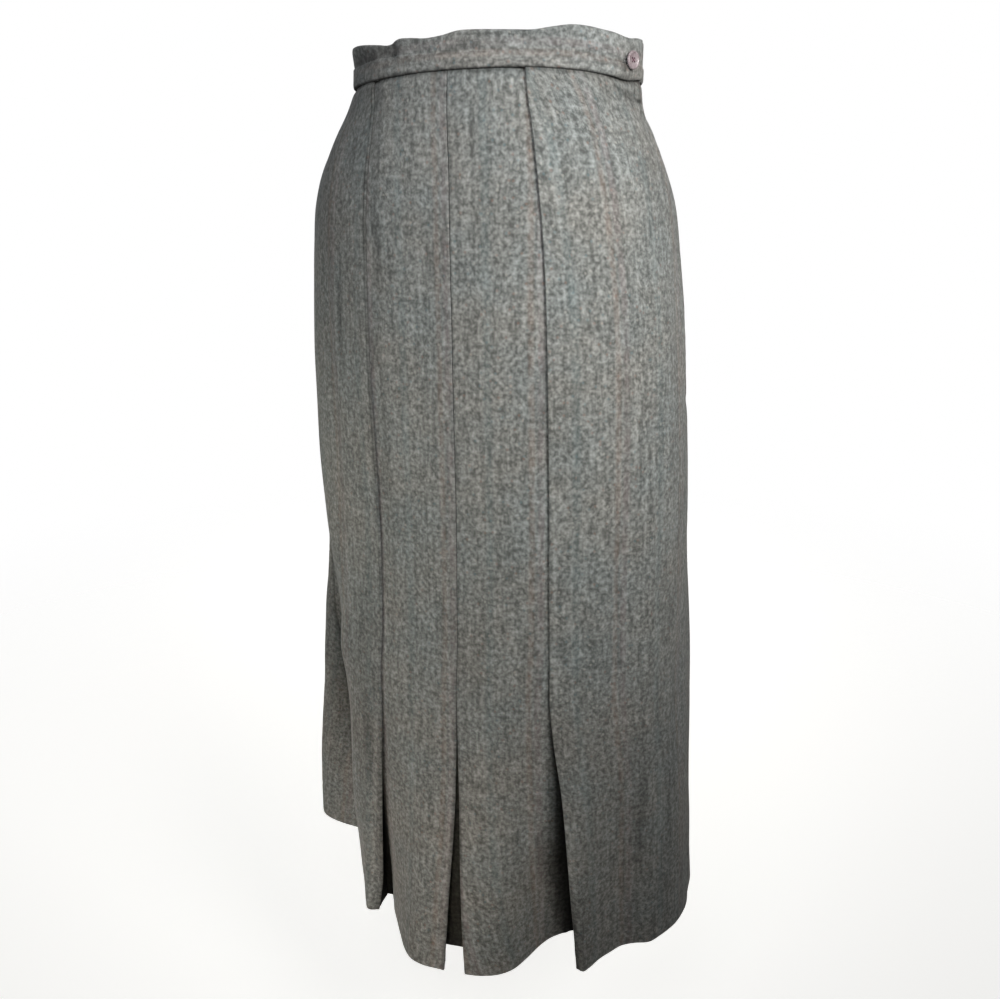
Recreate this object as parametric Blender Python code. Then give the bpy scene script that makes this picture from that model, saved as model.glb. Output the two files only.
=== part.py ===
"""A long wool skirt in the hollow form it has when worn.

The skirt hangs from a shaped waistband that closes with one button on the wearer's left.
Below the band the front is four gores: a narrow pair in the middle and a wide one on each side.
The seam down the middle opens into an inverted pleat, and each seam beside it into a knife pleat.
The back is two plain gores. Units are metres, +Z is up, and the front faces -Y.
The origin is at the middle of the waist, on the line where the band meets the gores.

Every wall is a strip of cloth that follows a path round the body. A path is a list of places
(round, out): the length round the ring from its foremost point, positive towards the wearer's
left, and the distance outwards from the ring, both in millimetres.
"""

import math

import bmesh
import bpy
import numpy as np

MM = 0.001

# Driving sizes, in millimetres
CLOTH = 1.2  # the cloth's thickness
GAP = 0.3  # between pieces that touch
PLY = CLOTH + GAP  # from the middle of one layer to the middle of the next
SKIRT_LENGTH = 800.0  # from the waist seam to the hem
RING_POWER = 2.15  # 2 is an ellipse; a little more fills out the corners of the body
RING_STEPS = 1440
MITRE_LIMIT = 0.7  # the sharpest turn of a wall, as the cosine of half the turn
EASE = 18.0  # the length over which a gore rises from under the pleat beside it
SEAM_FORWARD = 20.0  # how far the wearer's right side seam hangs in front of the quarter
SEAM_LEAD = 4.0  # from a side seam to the first place beside it
SIDE_STATIONS = 13  # places across a side gore's face, past the pleat
BACK_STATIONS = 23  # places across a back gore

BAND_INSIDE = 1.1  # from the band's middle line to its inner face
BAND_OUTSIDE = 1.0  # to its outer face, above the strip
BAND_STRIP_OUTSIDE = 2.0  # to the strip's outer face
BAND_STEP = 0.8  # the height over which the strip thins out
BAND_ROUNDING = 0.4  # how far the band's long edges are rounded off
BAND_ROUNDING_HEIGHT = 0.9
BAND_END = 198.0  # where the outer end of the band lies, round from the foremost point
BAND_OVERLAP = 44.0  # how far the inner end runs on under the outer one
BAND_PARTING = 16.0  # the length over which the two ends part
BAND_STATIONS = 66

BUTTON_ROUND = 165.5  # the button's place round the band
BUTTON_UP = 11.5  # and above the origin
BUTTON_TILT = 9.0  # degrees; it sits a little turned towards the front on its thread
BUTTON_LIFT = 1.0  # how far the tilt holds its middle off the band
BUTTON_RADIUS = 7.0
BUTTON_THICKNESS = 2.8
BUTTON_SIDES = 32
HOLE_RADIUS = 0.8
HOLE_SPACING = 2.7  # between the centres of neighbouring holes
HOLE_SIDES = 10

# One row for each section of the skirt, in millimetres. down: below the waist seam.
# half_width, half_depth, sideways: the ring. a_edge, b_left, b_right, c_edge: the edges of the
# middle gores, round the ring. turn_in: the cloth folded under at each edge, a plain seam
# allowance above and a pleat below. open: how far the pleats have opened, 1 at the hem.
SECTION_COLUMNS = (
    "down", "half_width", "half_depth", "sideways",
    "a_edge", "b_left", "b_right", "c_edge", "turn_in", "open",
)
SECTION_ROWS = (
    (0, 129.0, 95.0, -2.0, -76.0, 10.0, 10.0, 74.0, 8, 0.0),
    (20, 135.0, 98.5, -5.5, -66.0, 15.0, 15.0, 81.0, 8, 0.0),
    (40, 145.5, 105.0, -7.0, -60.0, 20.0, 20.0, 89.0, 9, 0.0),
    (70, 159.5, 114.0, -7.5, -55.0, 26.5, 26.5, 98.0, 9, 0.0),
    (100, 168.5, 120.0, -7.5, -53.5, 30.0, 30.0, 104.5, 10, 0.0),
    (140, 174.0, 123.0, -7.0, -53.0, 31.5, 31.5, 109.0, 10, 0.0),
    (200, 180.0, 126.5, -5.0, -52.5, 32.5, 32.5, 112.0, 10, 0.0),
    (270, 183.5, 130.0, -2.0, -52.5, 32.5, 32.5, 113.0, 10, 0.0),
    (340, 185.0, 133.0, 2.0, -53.0, 31.5, 31.5, 112.5, 10, 0.0),
    (420, 186.5, 136.5, 4.0, -52.0, 31.5, 31.5, 113.5, 10, 0.0),
    (480, 190.0, 140.0, 4.5, -51.0, 32.5, 32.5, 116.0, 14, 0.0),
    (515, 192.5, 143.0, 4.0, -51.0, 33.0, 33.0, 118.5, 30, 0.0),
    (550, 194.5, 144.5, 4.0, -51.0, 33.5, 34.0, 122.5, 42, 0.03),
    (610, 197.5, 149.0, 3.5, -52.0, 35.0, 38.0, 132.5, 41, 0.14),
    (670, 201.5, 153.0, 2.0, -54.0, 36.0, 42.5, 141.5, 37, 0.32),
    (720, 205.0, 156.5, 1.0, -56.5, 36.0, 47.0, 149.0, 33, 0.54),
    (765, 207.5, 159.0, 1.0, -62.0, 35.0, 50.5, 156.0, 28, 0.78),
    (800, 209.0, 161.5, 1.5, -70.0, 33.5, 54.0, 162.0, 24, 1.0),
)

# The middle gores' faces, in rows of (share, depth). share: from the outer edge, 0, to the centre
# front, 1. depth: how far out of the ring the cloth is at the hem.
CENTRE_RIGHT_FACE = (
    (0.0, -38.0), (0.12, -30.0), (0.25, -21.0), (0.4, -7.5), (0.55, 4.0), (0.7, 12.5),
    (0.85, 14.5), (1.0, 12.0),
)
CENTRE_LEFT_FACE = (
    (0.0, -61.0), (0.1, -58.5), (0.23, -53.0), (0.38, -40.0), (0.5, -23.0), (0.6, -8.0),
    (0.72, 1.0), (0.86, 7.0), (1.0, 9.0),
)

# The turn at a folded edge, in rows of (inward, behind), both in plies from the edge's tip.
CREASE = ((0.5, 0.0), (0.15, 0.2), (0.15, 0.8), (0.5, 1.0))

# The layers inside each pleat, in rows of (share, folded, under). share: of the turn-in, from the
# crease. folded: how far out of the ring the folded-under cloth is at the hem. under: the same
# for the cloth it is sewn to.
PLEAT_A = ((0.12, -23.0, -39.0), (0.38, -36.0, -41.0), (0.7, -43.5, -43.7), (1.0, -44.5, -44.5))
PLEAT_C = ((0.12, -28.0, -61.0), (0.38, -48.0, -61.5), (0.7, -60.3, -60.5), (1.0, -60.5, -60.5))
PLEAT_B_RIGHT = ((0.12, 3.0, -21.5), (0.38, -8.0, -21.0), (0.7, -18.3, -18.5), (1.0, -19.0, -19.0))
PLEAT_B_LEFT = ((0.12, 0.0, -22.0), (0.38, -10.0, -21.5), (0.7, -18.8, -19.0), (1.0, -19.5, -19.5))
UNDERLAY_MIDDLE = -22.5  # how far out of the ring the middle of the underlay is at the hem
UNDERLAY_TOP = 550  # the section where the underlay starts

# The folds of the side and back gores, in rows of (upper, hem, depth, starts). upper, hem: the
# row's place from the foremost point, at FOLD_TOP and at the hem. depth: out of the ring at the
# hem. starts: how far down it begins, or 0 if it deepens as the pleats open.
FOLD_TOP = 400.0
FOLD_POWER = 0.8
RIGHT_FOLDS = (
    (52, 70, -16, 0), (75, 98, -23, 0), (105, 138, -38, 520),
    (140, 180, -47, 420), (160, 205, -51, 400), (176, 224, -56, 400), (186, 238, -58, 400),
    (193, 248, -52, 400), (198, 255, -34, 400), (203, 260, -12, 400), (209, 267, 8, 400),
    (216, 276, 20, 400), (224, 286, 25, 400), (234, 298, 24, 400), (250, 314, 15, 400),
    (290, 345, -1, 400), (345, 400, 9, 300), (400, 455, -5, 300), (482, 549, 5, 300),
)
LEFT_FOLDS = (
    (113, 162, -9, 0), (124, 173, -10, 0), (138, 187, -17, 0),
    (155, 205, -23, 580), (172, 224, -25, 580), (186, 238, -20, 580),
    (198, 250, -13, 580), (214, 265, -8, 580), (240, 292, -2, 580),
    (296, 342, -1, 580), (345, 395, 8, 300), (400, 450, -5, 300),
    (455, 510, 9, 300), (505, 575, -5, 300), (546, 637, 5, 300),
)

# The waist seam dips at the sides, and the band follows it. All in millimetres. round: from the
# foremost point. seam: the seam's height above the origin. strip: the height of the band's
# thicker strip. top: the height of the band's upper edge above the origin.
WAIST_COLUMNS = ("round", "seam", "strip", "top")
WAIST_ROWS = (
    (-359, -3.0, 14.0, 30.0), (-300, -4.0, 15.0, 28.5), (-230, -5.5, 17.0, 28.5),
    (-165, -6.0, 18.0, 28.0), (-126, -4.5, 17.5, 27.0), (-62, -0.5, 16.0, 28.0),
    (-46, 0.5, 15.5, 28.0), (-38, 1.0, 15.0, 29.5), (-10, 2.5, 13.5, 29.0),
    (28, 3.3, 13.0, 31.0), (66, 3.5, 12.0, 29.5), (86, 3.3, 11.5, 30.0), (112, 2.0, 10.5, 33.0),
    (135, 0.0, 10.5, 31.5), (160, -3.5, 12.0, 29.5), (200, -6.0, 12.0, 27.5),
    (260, -6.0, 12.0, 28.5), (310, -4.5, 13.0, 28.5), (359, -3.0, 14.0, 30.0),
)
WAIST_REACH = 100.0  # how far down the gores still follow the seam's dips

# Half of the button's outline, in rows of (across, up), as shares of its radius and thickness:
# a flat back, a rounded rim and a sunk middle.
BUTTON_PROFILE = (
    (0.0, 0.0), (0.8, 0.0), (0.96, 0.3), (1.0, 0.57), (0.96, 0.86), (0.89, 1.0),
    (0.8, 0.93), (0.63, 0.71), (0.0, 0.71),
)


def section(row):
    """One row of the section table, by column name."""
    return dict(zip(SECTION_COLUMNS, row))


SECTIONS = [section(row) for row in SECTION_ROWS]


def smooth_between(x, knots, values):
    """A smooth curve through the knots, read at x."""
    knots, values = np.asarray(knots, float), np.asarray(values, float)
    slopes = np.gradient(values, knots)
    i = int(np.clip(np.searchsorted(knots, x) - 1, 0, len(knots) - 2))
    span = knots[i + 1] - knots[i]
    t = min(max((x - knots[i]) / span, 0.0), 1.0)
    rise = values[i + 1] - values[i]
    start, end = slopes[i] * span, slopes[i + 1] * span
    return float(
        values[i] + t * start
        + t * t * (3 * rise - 2 * start - end)
        + t * t * t * (start + end - 2 * rise)
    )


def ring_of(level):
    """A section's ring: lengths round it, points and outward directions, and its whole length."""
    angle = np.linspace(-math.pi, math.pi, RING_STEPS + 1)
    across, along = np.sin(angle), -np.cos(angle)
    power = 2.0 / RING_POWER
    x = level["half_width"] * np.sign(across) * np.abs(across) ** power + level["sideways"]
    y = level["half_depth"] * np.sign(along) * np.abs(along) ** power
    points = np.stack([x, y], axis=1)
    steps = np.linalg.norm(np.diff(points, axis=0), axis=1)
    lengths = np.concatenate([[0.0], np.cumsum(steps)])
    lengths -= lengths[RING_STEPS // 2]
    tangents = np.gradient(points, axis=0)
    tangents[0] = tangents[-1] = (tangents[0] + tangents[-1]) / 2
    outward = np.stack([tangents[:, 1], -tangents[:, 0]], axis=1)
    outward /= np.linalg.norm(outward, axis=1)[:, None]
    return lengths, points, outward, lengths[-1] - lengths[0]


RINGS = [ring_of(level) for level in SECTIONS]


def on_ring(ring, places):
    """Places (round, out) of a ring as points (x, y)."""
    lengths, points, outward, whole = ring
    found = []
    for place, out in places:
        at = (place - lengths[0]) % whole + lengths[0]
        x, y, dx, dy = (
            np.interp(at, lengths, column)
            for column in (points[:, 0], points[:, 1], outward[:, 0], outward[:, 1])
        )
        size = math.hypot(dx, dy)
        found.append((x + dx * out / size, y + dy * out / size))
    return np.array(found)


def fold_depth(level, side, place):
    """How far out of the ring a side or back gore lies, side is -1 on the wearer's right."""
    rows = RIGHT_FOLDS if side < 0 else LEFT_FOLDS
    down = level["down"]
    share = min(max((down - FOLD_TOP) / (SKIRT_LENGTH - FOLD_TOP), 0.0), 1.0)
    knots, depths = [], []
    for upper, hem, depth, starts in rows:
        knots.append(upper + (hem - upper) * share)
        grown = min(max((down - starts) / (SKIRT_LENGTH - starts), 0.0), 1.0) ** FOLD_POWER
        depths.append(depth * (level["open"] if starts == 0 else grown))
    place = min(max(place, knots[0]), knots[-1])
    return smooth_between(place, knots, depths)


def seam_places(level, ring):
    """Where the side seams and the centre back lie, measured each way from the foremost point."""
    middle = (level["b_left"] + level["b_right"]) / 2
    quarter = ring[3] / 4
    return {
        "side_right": quarter - middle - SEAM_FORWARD,
        "side_left": quarter + middle,
        "back_right": 2 * quarter - middle,
        "back_left": 2 * quarter + middle,
    }


def even_shares(side, start_name, end_name, count):
    """Shares of a gore's width that lie evenly along its folded hem."""
    level, ring = SECTIONS[-1], RINGS[-1]
    start, end = span_of(level, ring, start_name), span_of(level, ring, end_name)
    shares = np.linspace(0.0, 1.0, 241)
    places = start + (end - start) * shares
    depths = [fold_depth(level, side, place) for place in places]
    steps = np.hypot(np.diff(places), np.diff(depths))
    along = np.concatenate([[0.0], np.cumsum(steps)])
    return np.interp(np.linspace(0.0, along[-1], count), along, shares)


def span_of(level, ring, name):
    """A named edge's place, measured from the foremost point towards its own side."""
    if name == "a_edge":
        return -level["a_edge"]
    if name == "c_edge":
        return level["c_edge"]
    return seam_places(level, ring)[name]


def crease(edge, out, side):
    """The turn at a folded edge, from the face to the return. side: where the gore lies."""
    tip = edge + side * CLOTH / 2
    return [(tip + side * PLY * inward, out - PLY * behind) for inward, behind in CREASE]


def pleat_place(level, edge, side, share):
    """A place on the layers inside a pleat, counted from the crease."""
    return edge + side * ((CLOTH + PLY) / 2 + share * level["turn_in"])


def return_path(level, rows, edge, side, lift):
    """The cloth folded under at an edge, from the crease to its own edge."""
    return [
        (pleat_place(level, edge, side, share), lift - PLY + level["open"] * folded)
        for share, folded, under in rows
    ]


def centre_path(level, face, pleat, centre_pleat, outer, inner, side):
    """A middle gore's path, from under the side gore to its return at the centre front."""
    places = [
        (pleat_place(level, outer, -side, share), level["open"] * under - 1.5 * PLY)
        for share, folded, under in reversed(pleat)
    ]
    edge = inner - side * GAP / 2
    first, last = pleat_place(level, outer, -side, 0.0), pleat_place(level, edge, -side, 0.0)
    for share, depth in face[:-1]:
        place = first + (last - first) * share
        sunk = 1.5 * PLY * (1 - ease(min(abs(place - first) / EASE, 1.0)))
        places.append((place, level["open"] * depth - sunk))
    places += crease(edge, level["open"] * face[-1][1], -side)
    return places + return_path(level, centre_pleat, edge, -side, 0.0)


def side_path(level, ring, side, edge_name, seam_name, shares, pleat):
    """A side gore's path, from its return under the pleat edge to the side seam."""
    edge, end = span_of(level, ring, edge_name), span_of(level, ring, seam_name) - GAP / 2
    over_pleat = [pleat_place(level, edge, 1, share) for share in (0.0, *(row[0] for row in pleat))]
    rest = [over_pleat[-1] + (end - over_pleat[-1]) * share for share in shares[1:-1]]
    rest += [end - SEAM_LEAD, end]
    face = []
    for place in over_pleat + rest:
        raised = PLY / 2 * (1 - ease(min((place - edge) / (2 * EASE), 1.0)))
        face.append((side * place, fold_depth(level, side, place) + raised))
    turn = crease(side * edge, face[0][1], side)
    back = return_path(level, pleat, side * edge, side, PLY / 2)
    return back[::-1] + turn[::-1] + face[1:]


def back_path(level, ring, side, seam_name, middle_name, shares):
    """A back gore's path, from the side seam to the centre back."""
    start = span_of(level, ring, seam_name) + GAP
    end = span_of(level, ring, middle_name) - GAP / 2
    across = [start + (end - start) * share for share in shares[1:]]
    return [
        (side * place, fold_depth(level, side, place))
        for place in [start, start + SEAM_LEAD, *across]
    ]


def underlay_path(level):
    """The path of the strip that closes the centre front pleat from behind."""
    edges = level["b_left"] - GAP / 2, level["b_right"] + GAP / 2
    right = [
        (pleat_place(level, edges[0], -1, share), level["open"] * under - 2 * PLY)
        for share, folded, under in reversed(PLEAT_B_RIGHT)
    ]
    middle = [(sum(edges) / 2, level["open"] * UNDERLAY_MIDDLE - 2 * PLY)]
    left = [
        (pleat_place(level, edges[1], 1, share), level["open"] * under - 2 * PLY)
        for share, folded, under in PLEAT_B_LEFT
    ]
    return right + middle + left


def wall(points, half_in, half_out):
    """Both faces of a wall along a path of points (x, y): the one on its left and the other."""
    steps = np.diff(points, axis=0)
    steps /= np.linalg.norm(steps, axis=1)[:, None]
    before = np.vstack([steps[:1], steps])
    after = np.vstack([steps, steps[-1:]])
    left_before = np.stack([-before[:, 1], before[:, 0]], axis=1)
    left_after = np.stack([-after[:, 1], after[:, 0]], axis=1)
    bisector = left_before + left_after
    bisector /= np.linalg.norm(bisector, axis=1)[:, None]
    lean = np.clip((bisector * left_after).sum(axis=1), MITRE_LIMIT, 1.0)
    mitre = bisector / lean[:, None]
    return points + mitre * half_in, points - mitre * half_out


def closed_strip(name, loops, material):
    """A closed solid lofted through loops of points (x, y, z), each the outline of a wall."""
    mesh = bpy.data.meshes.new(name)
    form = bmesh.new()
    rows = [[form.verts.new([value * MM for value in point]) for point in loop] for loop in loops]
    size = len(loops[0])
    half = size // 2
    for lower, upper in zip(rows, rows[1:]):
        for i in range(size):
            j = (i + 1) % size
            corners = (lower[i], lower[j], upper[j], upper[i])
            a, b, c, d = corners if i < half else corners[1:] + corners[:1]
            form.faces.new((a, b, c))
            form.faces.new((a, c, d))
    for row in (rows[0], rows[-1]):
        for i in range(half - 1):
            form.faces.new((row[i], row[i + 1], row[size - 2 - i], row[size - 1 - i]))
    bmesh.ops.recalc_face_normals(form, faces=form.faces)
    form.to_mesh(mesh)
    form.free()
    mesh.shade_smooth()
    mesh.set_sharp_from_angle(angle=math.radians(40))
    mesh.materials.append(material)
    made = bpy.data.objects.new(name, mesh)
    bpy.context.scene.collection.objects.link(made)
    return made


def waist(place, column):
    """A column of the waist table at a place round the waist."""
    whole = RINGS[0][3]
    at = (place + whole / 2) % whole - whole / 2
    rows = list(zip(*WAIST_ROWS))
    return smooth_between(at, rows[0], rows[WAIST_COLUMNS.index(column)])


def gore_height(level, place):
    """The height of a place on a gore: the section's own, and near the top the seam's dips."""
    share = max(1.0 - level["down"] / WAIST_REACH, 0.0)
    return share * waist(place, "seam") - level["down"]


def gore(name, path_at, material, first_row=0):
    """A gore from the path that path_at gives for each section, from first_row to the hem."""
    loops = []
    for level, ring in zip(SECTIONS[first_row:], RINGS[first_row:]):
        path = path_at(level, ring)
        left, right = wall(on_ring(ring, path), CLOTH / 2, CLOTH / 2)
        outline = np.vstack([left, right[::-1]])
        heights = [gore_height(level, place) for place, _ in path]
        loops.append([(x, y, z) for (x, y), z in zip(outline, heights + heights[::-1])])
    return closed_strip(name, loops, material)


def cloth_material(name, colour, roughness=0.95):
    """A plain cloth finish."""
    made = bpy.data.materials.new(name)
    made.use_nodes = True
    shader = made.node_tree.nodes["Principled BSDF"]
    shader.inputs["Base Color"].default_value = (*colour, 1.0)
    shader.inputs["Roughness"].default_value = roughness
    shader.inputs["Metallic"].default_value = 0.0
    return made


def build_gores(tweed, shaded_tweed):
    """The six gores and the strip behind the centre front pleat."""
    gore("front_centre_right", lambda level, ring: centre_path(
        level, CENTRE_RIGHT_FACE, PLEAT_A, PLEAT_B_RIGHT, level["a_edge"], level["b_left"], 1),
        tweed)
    gore("front_centre_left", lambda level, ring: centre_path(
        level, CENTRE_LEFT_FACE, PLEAT_C, PLEAT_B_LEFT, level["c_edge"], level["b_right"], -1),
        tweed)

    right_shares = even_shares(-1, "a_edge", "side_right", SIDE_STATIONS)
    left_shares = even_shares(1, "c_edge", "side_left", SIDE_STATIONS)
    gore("front_side_right", lambda level, ring: side_path(
        level, ring, -1, "a_edge", "side_right", right_shares, PLEAT_A), tweed)
    gore("front_side_left", lambda level, ring: side_path(
        level, ring, 1, "c_edge", "side_left", left_shares, PLEAT_C), tweed)

    right_shares = even_shares(-1, "side_right", "back_right", BACK_STATIONS)
    left_shares = even_shares(1, "side_left", "back_left", BACK_STATIONS)
    gore("back_right", lambda level, ring: back_path(
        level, ring, -1, "side_right", "back_right", right_shares), tweed)
    gore("back_left", lambda level, ring: back_path(
        level, ring, 1, "side_left", "back_left", left_shares), tweed)

    first_row = [level["down"] for level in SECTIONS].index(UNDERLAY_TOP)
    gore("pleat_underlay", lambda level, ring: underlay_path(level), shaded_tweed, first_row)


def band_places():
    """The band's path round the waist, from its inner end to its outer end."""
    whole = RINGS[0][3]
    start = BAND_END - whole - BAND_OVERLAP
    apart = (BAND_INSIDE + BAND_STRIP_OUTSIDE + GAP) / 2
    places = []
    for place in np.linspace(start, BAND_END, BAND_STATIONS):
        past_inner_end = (place - start - BAND_OVERLAP) / BAND_PARTING
        before_outer_end = (BAND_END - BAND_OVERLAP - place) / BAND_PARTING
        inwards = 1 - min(max(past_inner_end, 0.0), 1.0)
        outwards = 1 - min(max(before_outer_end, 0.0), 1.0)
        places.append((place, apart * (ease(outwards) - ease(inwards))))
    return places


def ease(t):
    """0 to 1 with a soft start and end."""
    return t * t * (3 - 2 * t)


def build_waistband(tweed):
    """The band: a closed ring of double cloth, its outer end lapped over its inner end."""
    places = band_places()
    points = on_ring(RINGS[0], places)
    seam, strip, tops = (
        np.array([waist(place, column) for place, _ in places])
        for column in ("seam", "strip", "top")
    )
    rows = (
        (seam + GAP, BAND_STRIP_OUTSIDE - BAND_ROUNDING),
        (seam + GAP + BAND_ROUNDING_HEIGHT, BAND_STRIP_OUTSIDE),
        (seam + strip - BAND_STEP / 2, BAND_STRIP_OUTSIDE),
        (seam + strip + BAND_STEP / 2, BAND_OUTSIDE),
        (tops - BAND_ROUNDING_HEIGHT, BAND_OUTSIDE),
        (tops, BAND_OUTSIDE - BAND_ROUNDING),
    )
    loops = []
    for heights, outside in rows:
        left, right = wall(points, BAND_INSIDE, outside)
        outline = np.vstack([left, right[::-1]])
        levels = np.concatenate([heights, heights[::-1]])
        loops.append([(x, y, z) for (x, y), z in zip(outline, levels)])
    return closed_strip("waistband", loops, tweed)


def clear_scene():
    """Removes whatever objects the scene holds."""
    for existing in list(bpy.data.objects):
        bpy.data.objects.remove(existing, do_unlink=True)


def turned_solid(name, profile, sides):
    """A solid turned about Z from a profile of (radius, height) that starts and ends on the axis."""
    form = bmesh.new()
    start = form.verts.new((0.0, 0.0, profile[0][1] * MM))
    end = form.verts.new((0.0, 0.0, profile[-1][1] * MM))
    rings = []
    for radius, height in profile[1:-1]:
        turn = [2 * math.pi * i / sides for i in range(sides)]
        rings.append([
            form.verts.new((radius * MM * math.cos(a), radius * MM * math.sin(a), height * MM))
            for a in turn
        ])
    for i in range(sides):
        j = (i + 1) % sides
        form.faces.new((start, rings[0][i], rings[0][j]))
        form.faces.new((end, rings[-1][j], rings[-1][i]))
        for lower, upper in zip(rings, rings[1:]):
            form.faces.new((lower[i], upper[i], upper[j], lower[j]))
    bmesh.ops.recalc_face_normals(form, faces=form.faces)
    mesh = bpy.data.meshes.new(name)
    form.to_mesh(mesh)
    form.free()
    made = bpy.data.objects.new(name, mesh)
    bpy.context.scene.collection.objects.link(made)
    return made


def build_button(horn):
    """A dished four-hole button on the band's outer end."""
    apart = (BAND_INSIDE + BAND_STRIP_OUTSIDE + GAP) / 2
    seat_out = apart + BAND_STRIP_OUTSIDE + GAP + BUTTON_LIFT
    seat, beyond = on_ring(RINGS[0], [(BUTTON_ROUND, seat_out), (BUTTON_ROUND, seat_out + 1.0)])
    outward = math.atan2(beyond[1] - seat[1], beyond[0] - seat[0])
    facing = outward - math.radians(BUTTON_TILT)
    profile = [(BUTTON_RADIUS * across, BUTTON_THICKNESS * up) for across, up in BUTTON_PROFILE]
    button = turned_solid("button", profile, BUTTON_SIDES)
    button.data.materials.append(horn)
    half = HOLE_SPACING / 2
    for number, (x, y) in enumerate(((half, half), (-half, half), (-half, -half), (half, -half))):
        cutter = turned_solid(
            f"hole_cutter_{number + 1}",
            ((0.0, -1.0), (HOLE_RADIUS, -1.0), (HOLE_RADIUS, BUTTON_THICKNESS + 1.0),
             (0.0, BUTTON_THICKNESS + 1.0)),
            HOLE_SIDES,
        )
        cutter.location = (x * MM, y * MM, 0.0)
        cutter.parent = button
        cutter.hide_render = True
        cutter.display_type = "WIRE"
        cut = button.modifiers.new(f"hole_{number + 1}", "BOOLEAN")
        cut.operation = "DIFFERENCE"
        cut.object = cutter
    button.location = (seat[0] * MM, seat[1] * MM, BUTTON_UP * MM)
    button.rotation_euler = (0.0, math.radians(90), facing)
    button.data.shade_smooth()
    button.data.set_sharp_from_angle(angle=math.radians(40))
    return button


def build():
    """The whole skirt."""
    clear_scene()
    tweed = cloth_material("grey_tweed", (0.19, 0.19, 0.18))
    shaded_tweed = cloth_material("grey_tweed_underlay", (0.15, 0.15, 0.14))
    band_tweed = cloth_material("grey_tweed_band", (0.22, 0.22, 0.22))
    horn = cloth_material("mauve_horn", (0.33, 0.22, 0.26), roughness=0.35)
    build_gores(tweed, shaded_tweed)
    build_waistband(band_tweed)
    build_button(horn)


build()
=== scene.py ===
# Looks of a long grey wool skirt in its worn form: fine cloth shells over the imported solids,
# with their seams, pleats, creases and sewing, then the button, the studio and the camera.

import math

import bmesh
import bpy
import numpy as np
from mathutils import Matrix, Vector


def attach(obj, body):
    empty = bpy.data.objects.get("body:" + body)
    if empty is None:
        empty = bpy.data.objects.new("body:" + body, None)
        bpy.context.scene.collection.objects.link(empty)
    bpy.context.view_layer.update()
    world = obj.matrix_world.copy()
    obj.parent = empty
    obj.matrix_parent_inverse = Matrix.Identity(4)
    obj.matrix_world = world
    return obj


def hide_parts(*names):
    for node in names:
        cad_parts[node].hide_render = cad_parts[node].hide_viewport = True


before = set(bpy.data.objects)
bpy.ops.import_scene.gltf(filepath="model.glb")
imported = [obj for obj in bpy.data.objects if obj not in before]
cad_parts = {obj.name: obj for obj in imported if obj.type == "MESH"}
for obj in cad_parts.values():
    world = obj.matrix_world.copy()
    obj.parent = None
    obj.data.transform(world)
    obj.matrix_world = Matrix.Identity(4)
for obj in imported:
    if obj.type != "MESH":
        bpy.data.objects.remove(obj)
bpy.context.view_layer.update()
mm = 0.001
print("frame loaded:", len(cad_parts), "nodes")


# The body's form. Lengths are in millimetres here, as in the part's own source.

form = {
    "cloth": 1.2,           # the cloth's thickness
    "gap": 0.3,             # between pieces that touch
    "seamLap": 0.42,        # how far a side gore runs on, so that no light shows at its seam
    "length": 800.0,        # waist seam to hem
    "ringPower": 2.15,      # 2 is an ellipse
    "ringSteps": 1440,
    "ease": 18.0,           # how far a gore takes to rise from under the pleat beside it
    "seamForward": 20.0,    # the wearer's right side seam, in front of the quarter
    "foldTop": 400.0,
    "foldPower": 0.8,
    "waistReach": 100.0,    # how far down the gores follow the waist seam's dips
    "mitreLimit": 0.7,
    "press": 0.6,           # 1 is a round fold, less is pressed flatter
    "sharpAngle": 55.0,
}
ply = form["cloth"] + form["gap"]

sectionColumns = (
    "down", "halfWidth", "halfDepth", "sideways",
    "aEdge", "bLeft", "bRight", "cEdge", "turnIn", "open",
)
sectionRows = (
    (0, 129.0, 95.0, -2.0, -72.5, 10.0, 10.0, 74.0, 8, 0.0),
    (20, 135.0, 98.5, -5.5, -63.0, 15.0, 15.0, 81.0, 8, 0.0),
    (40, 145.5, 105.0, -7.0, -58.0, 20.0, 20.0, 89.0, 9, 0.0),
    (70, 159.5, 114.0, -7.5, -55.0, 26.5, 26.5, 98.0, 9, 0.0),
    (100, 168.5, 120.0, -7.5, -53.5, 30.0, 30.0, 104.5, 10, 0.0),
    (140, 174.0, 123.0, -7.0, -53.0, 31.5, 31.5, 109.0, 10, 0.0),
    (200, 180.0, 126.5, -5.0, -52.5, 32.5, 32.5, 112.0, 10, 0.0),
    (270, 183.5, 130.0, -2.0, -52.5, 32.5, 32.5, 113.0, 10, 0.0),
    (340, 185.0, 133.0, 2.0, -53.0, 31.5, 31.5, 112.5, 10, 0.0),
    (420, 186.5, 136.5, 4.0, -52.0, 31.5, 31.5, 113.5, 10, 0.0),
    (480, 190.0, 140.0, 4.5, -51.0, 32.5, 32.5, 116.0, 14, 0.0),
    (515, 192.5, 143.0, 4.0, -51.0, 33.0, 33.0, 118.5, 30, 0.0),
    (550, 194.5, 144.5, 4.0, -51.0, 33.5, 34.0, 122.5, 42, 0.03),
    (610, 197.5, 149.0, 3.5, -52.0, 35.0, 38.0, 134.0, 41, 0.14),
    (670, 201.5, 153.0, 2.0, -54.0, 36.0, 42.5, 143.6, 37, 0.32),
    (720, 205.0, 156.5, 1.0, -56.5, 36.0, 47.0, 151.0, 33, 0.54),
    (765, 207.5, 159.0, 1.0, -63.0, 35.6, 50.5, 157.2, 28, 0.78),
    (800, 209.0, 161.5, 1.5, -72.5, 35.0, 54.0, 161.4, 24, 1.0),
)
sections = [dict(zip(sectionColumns, row)) for row in sectionRows]

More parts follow.
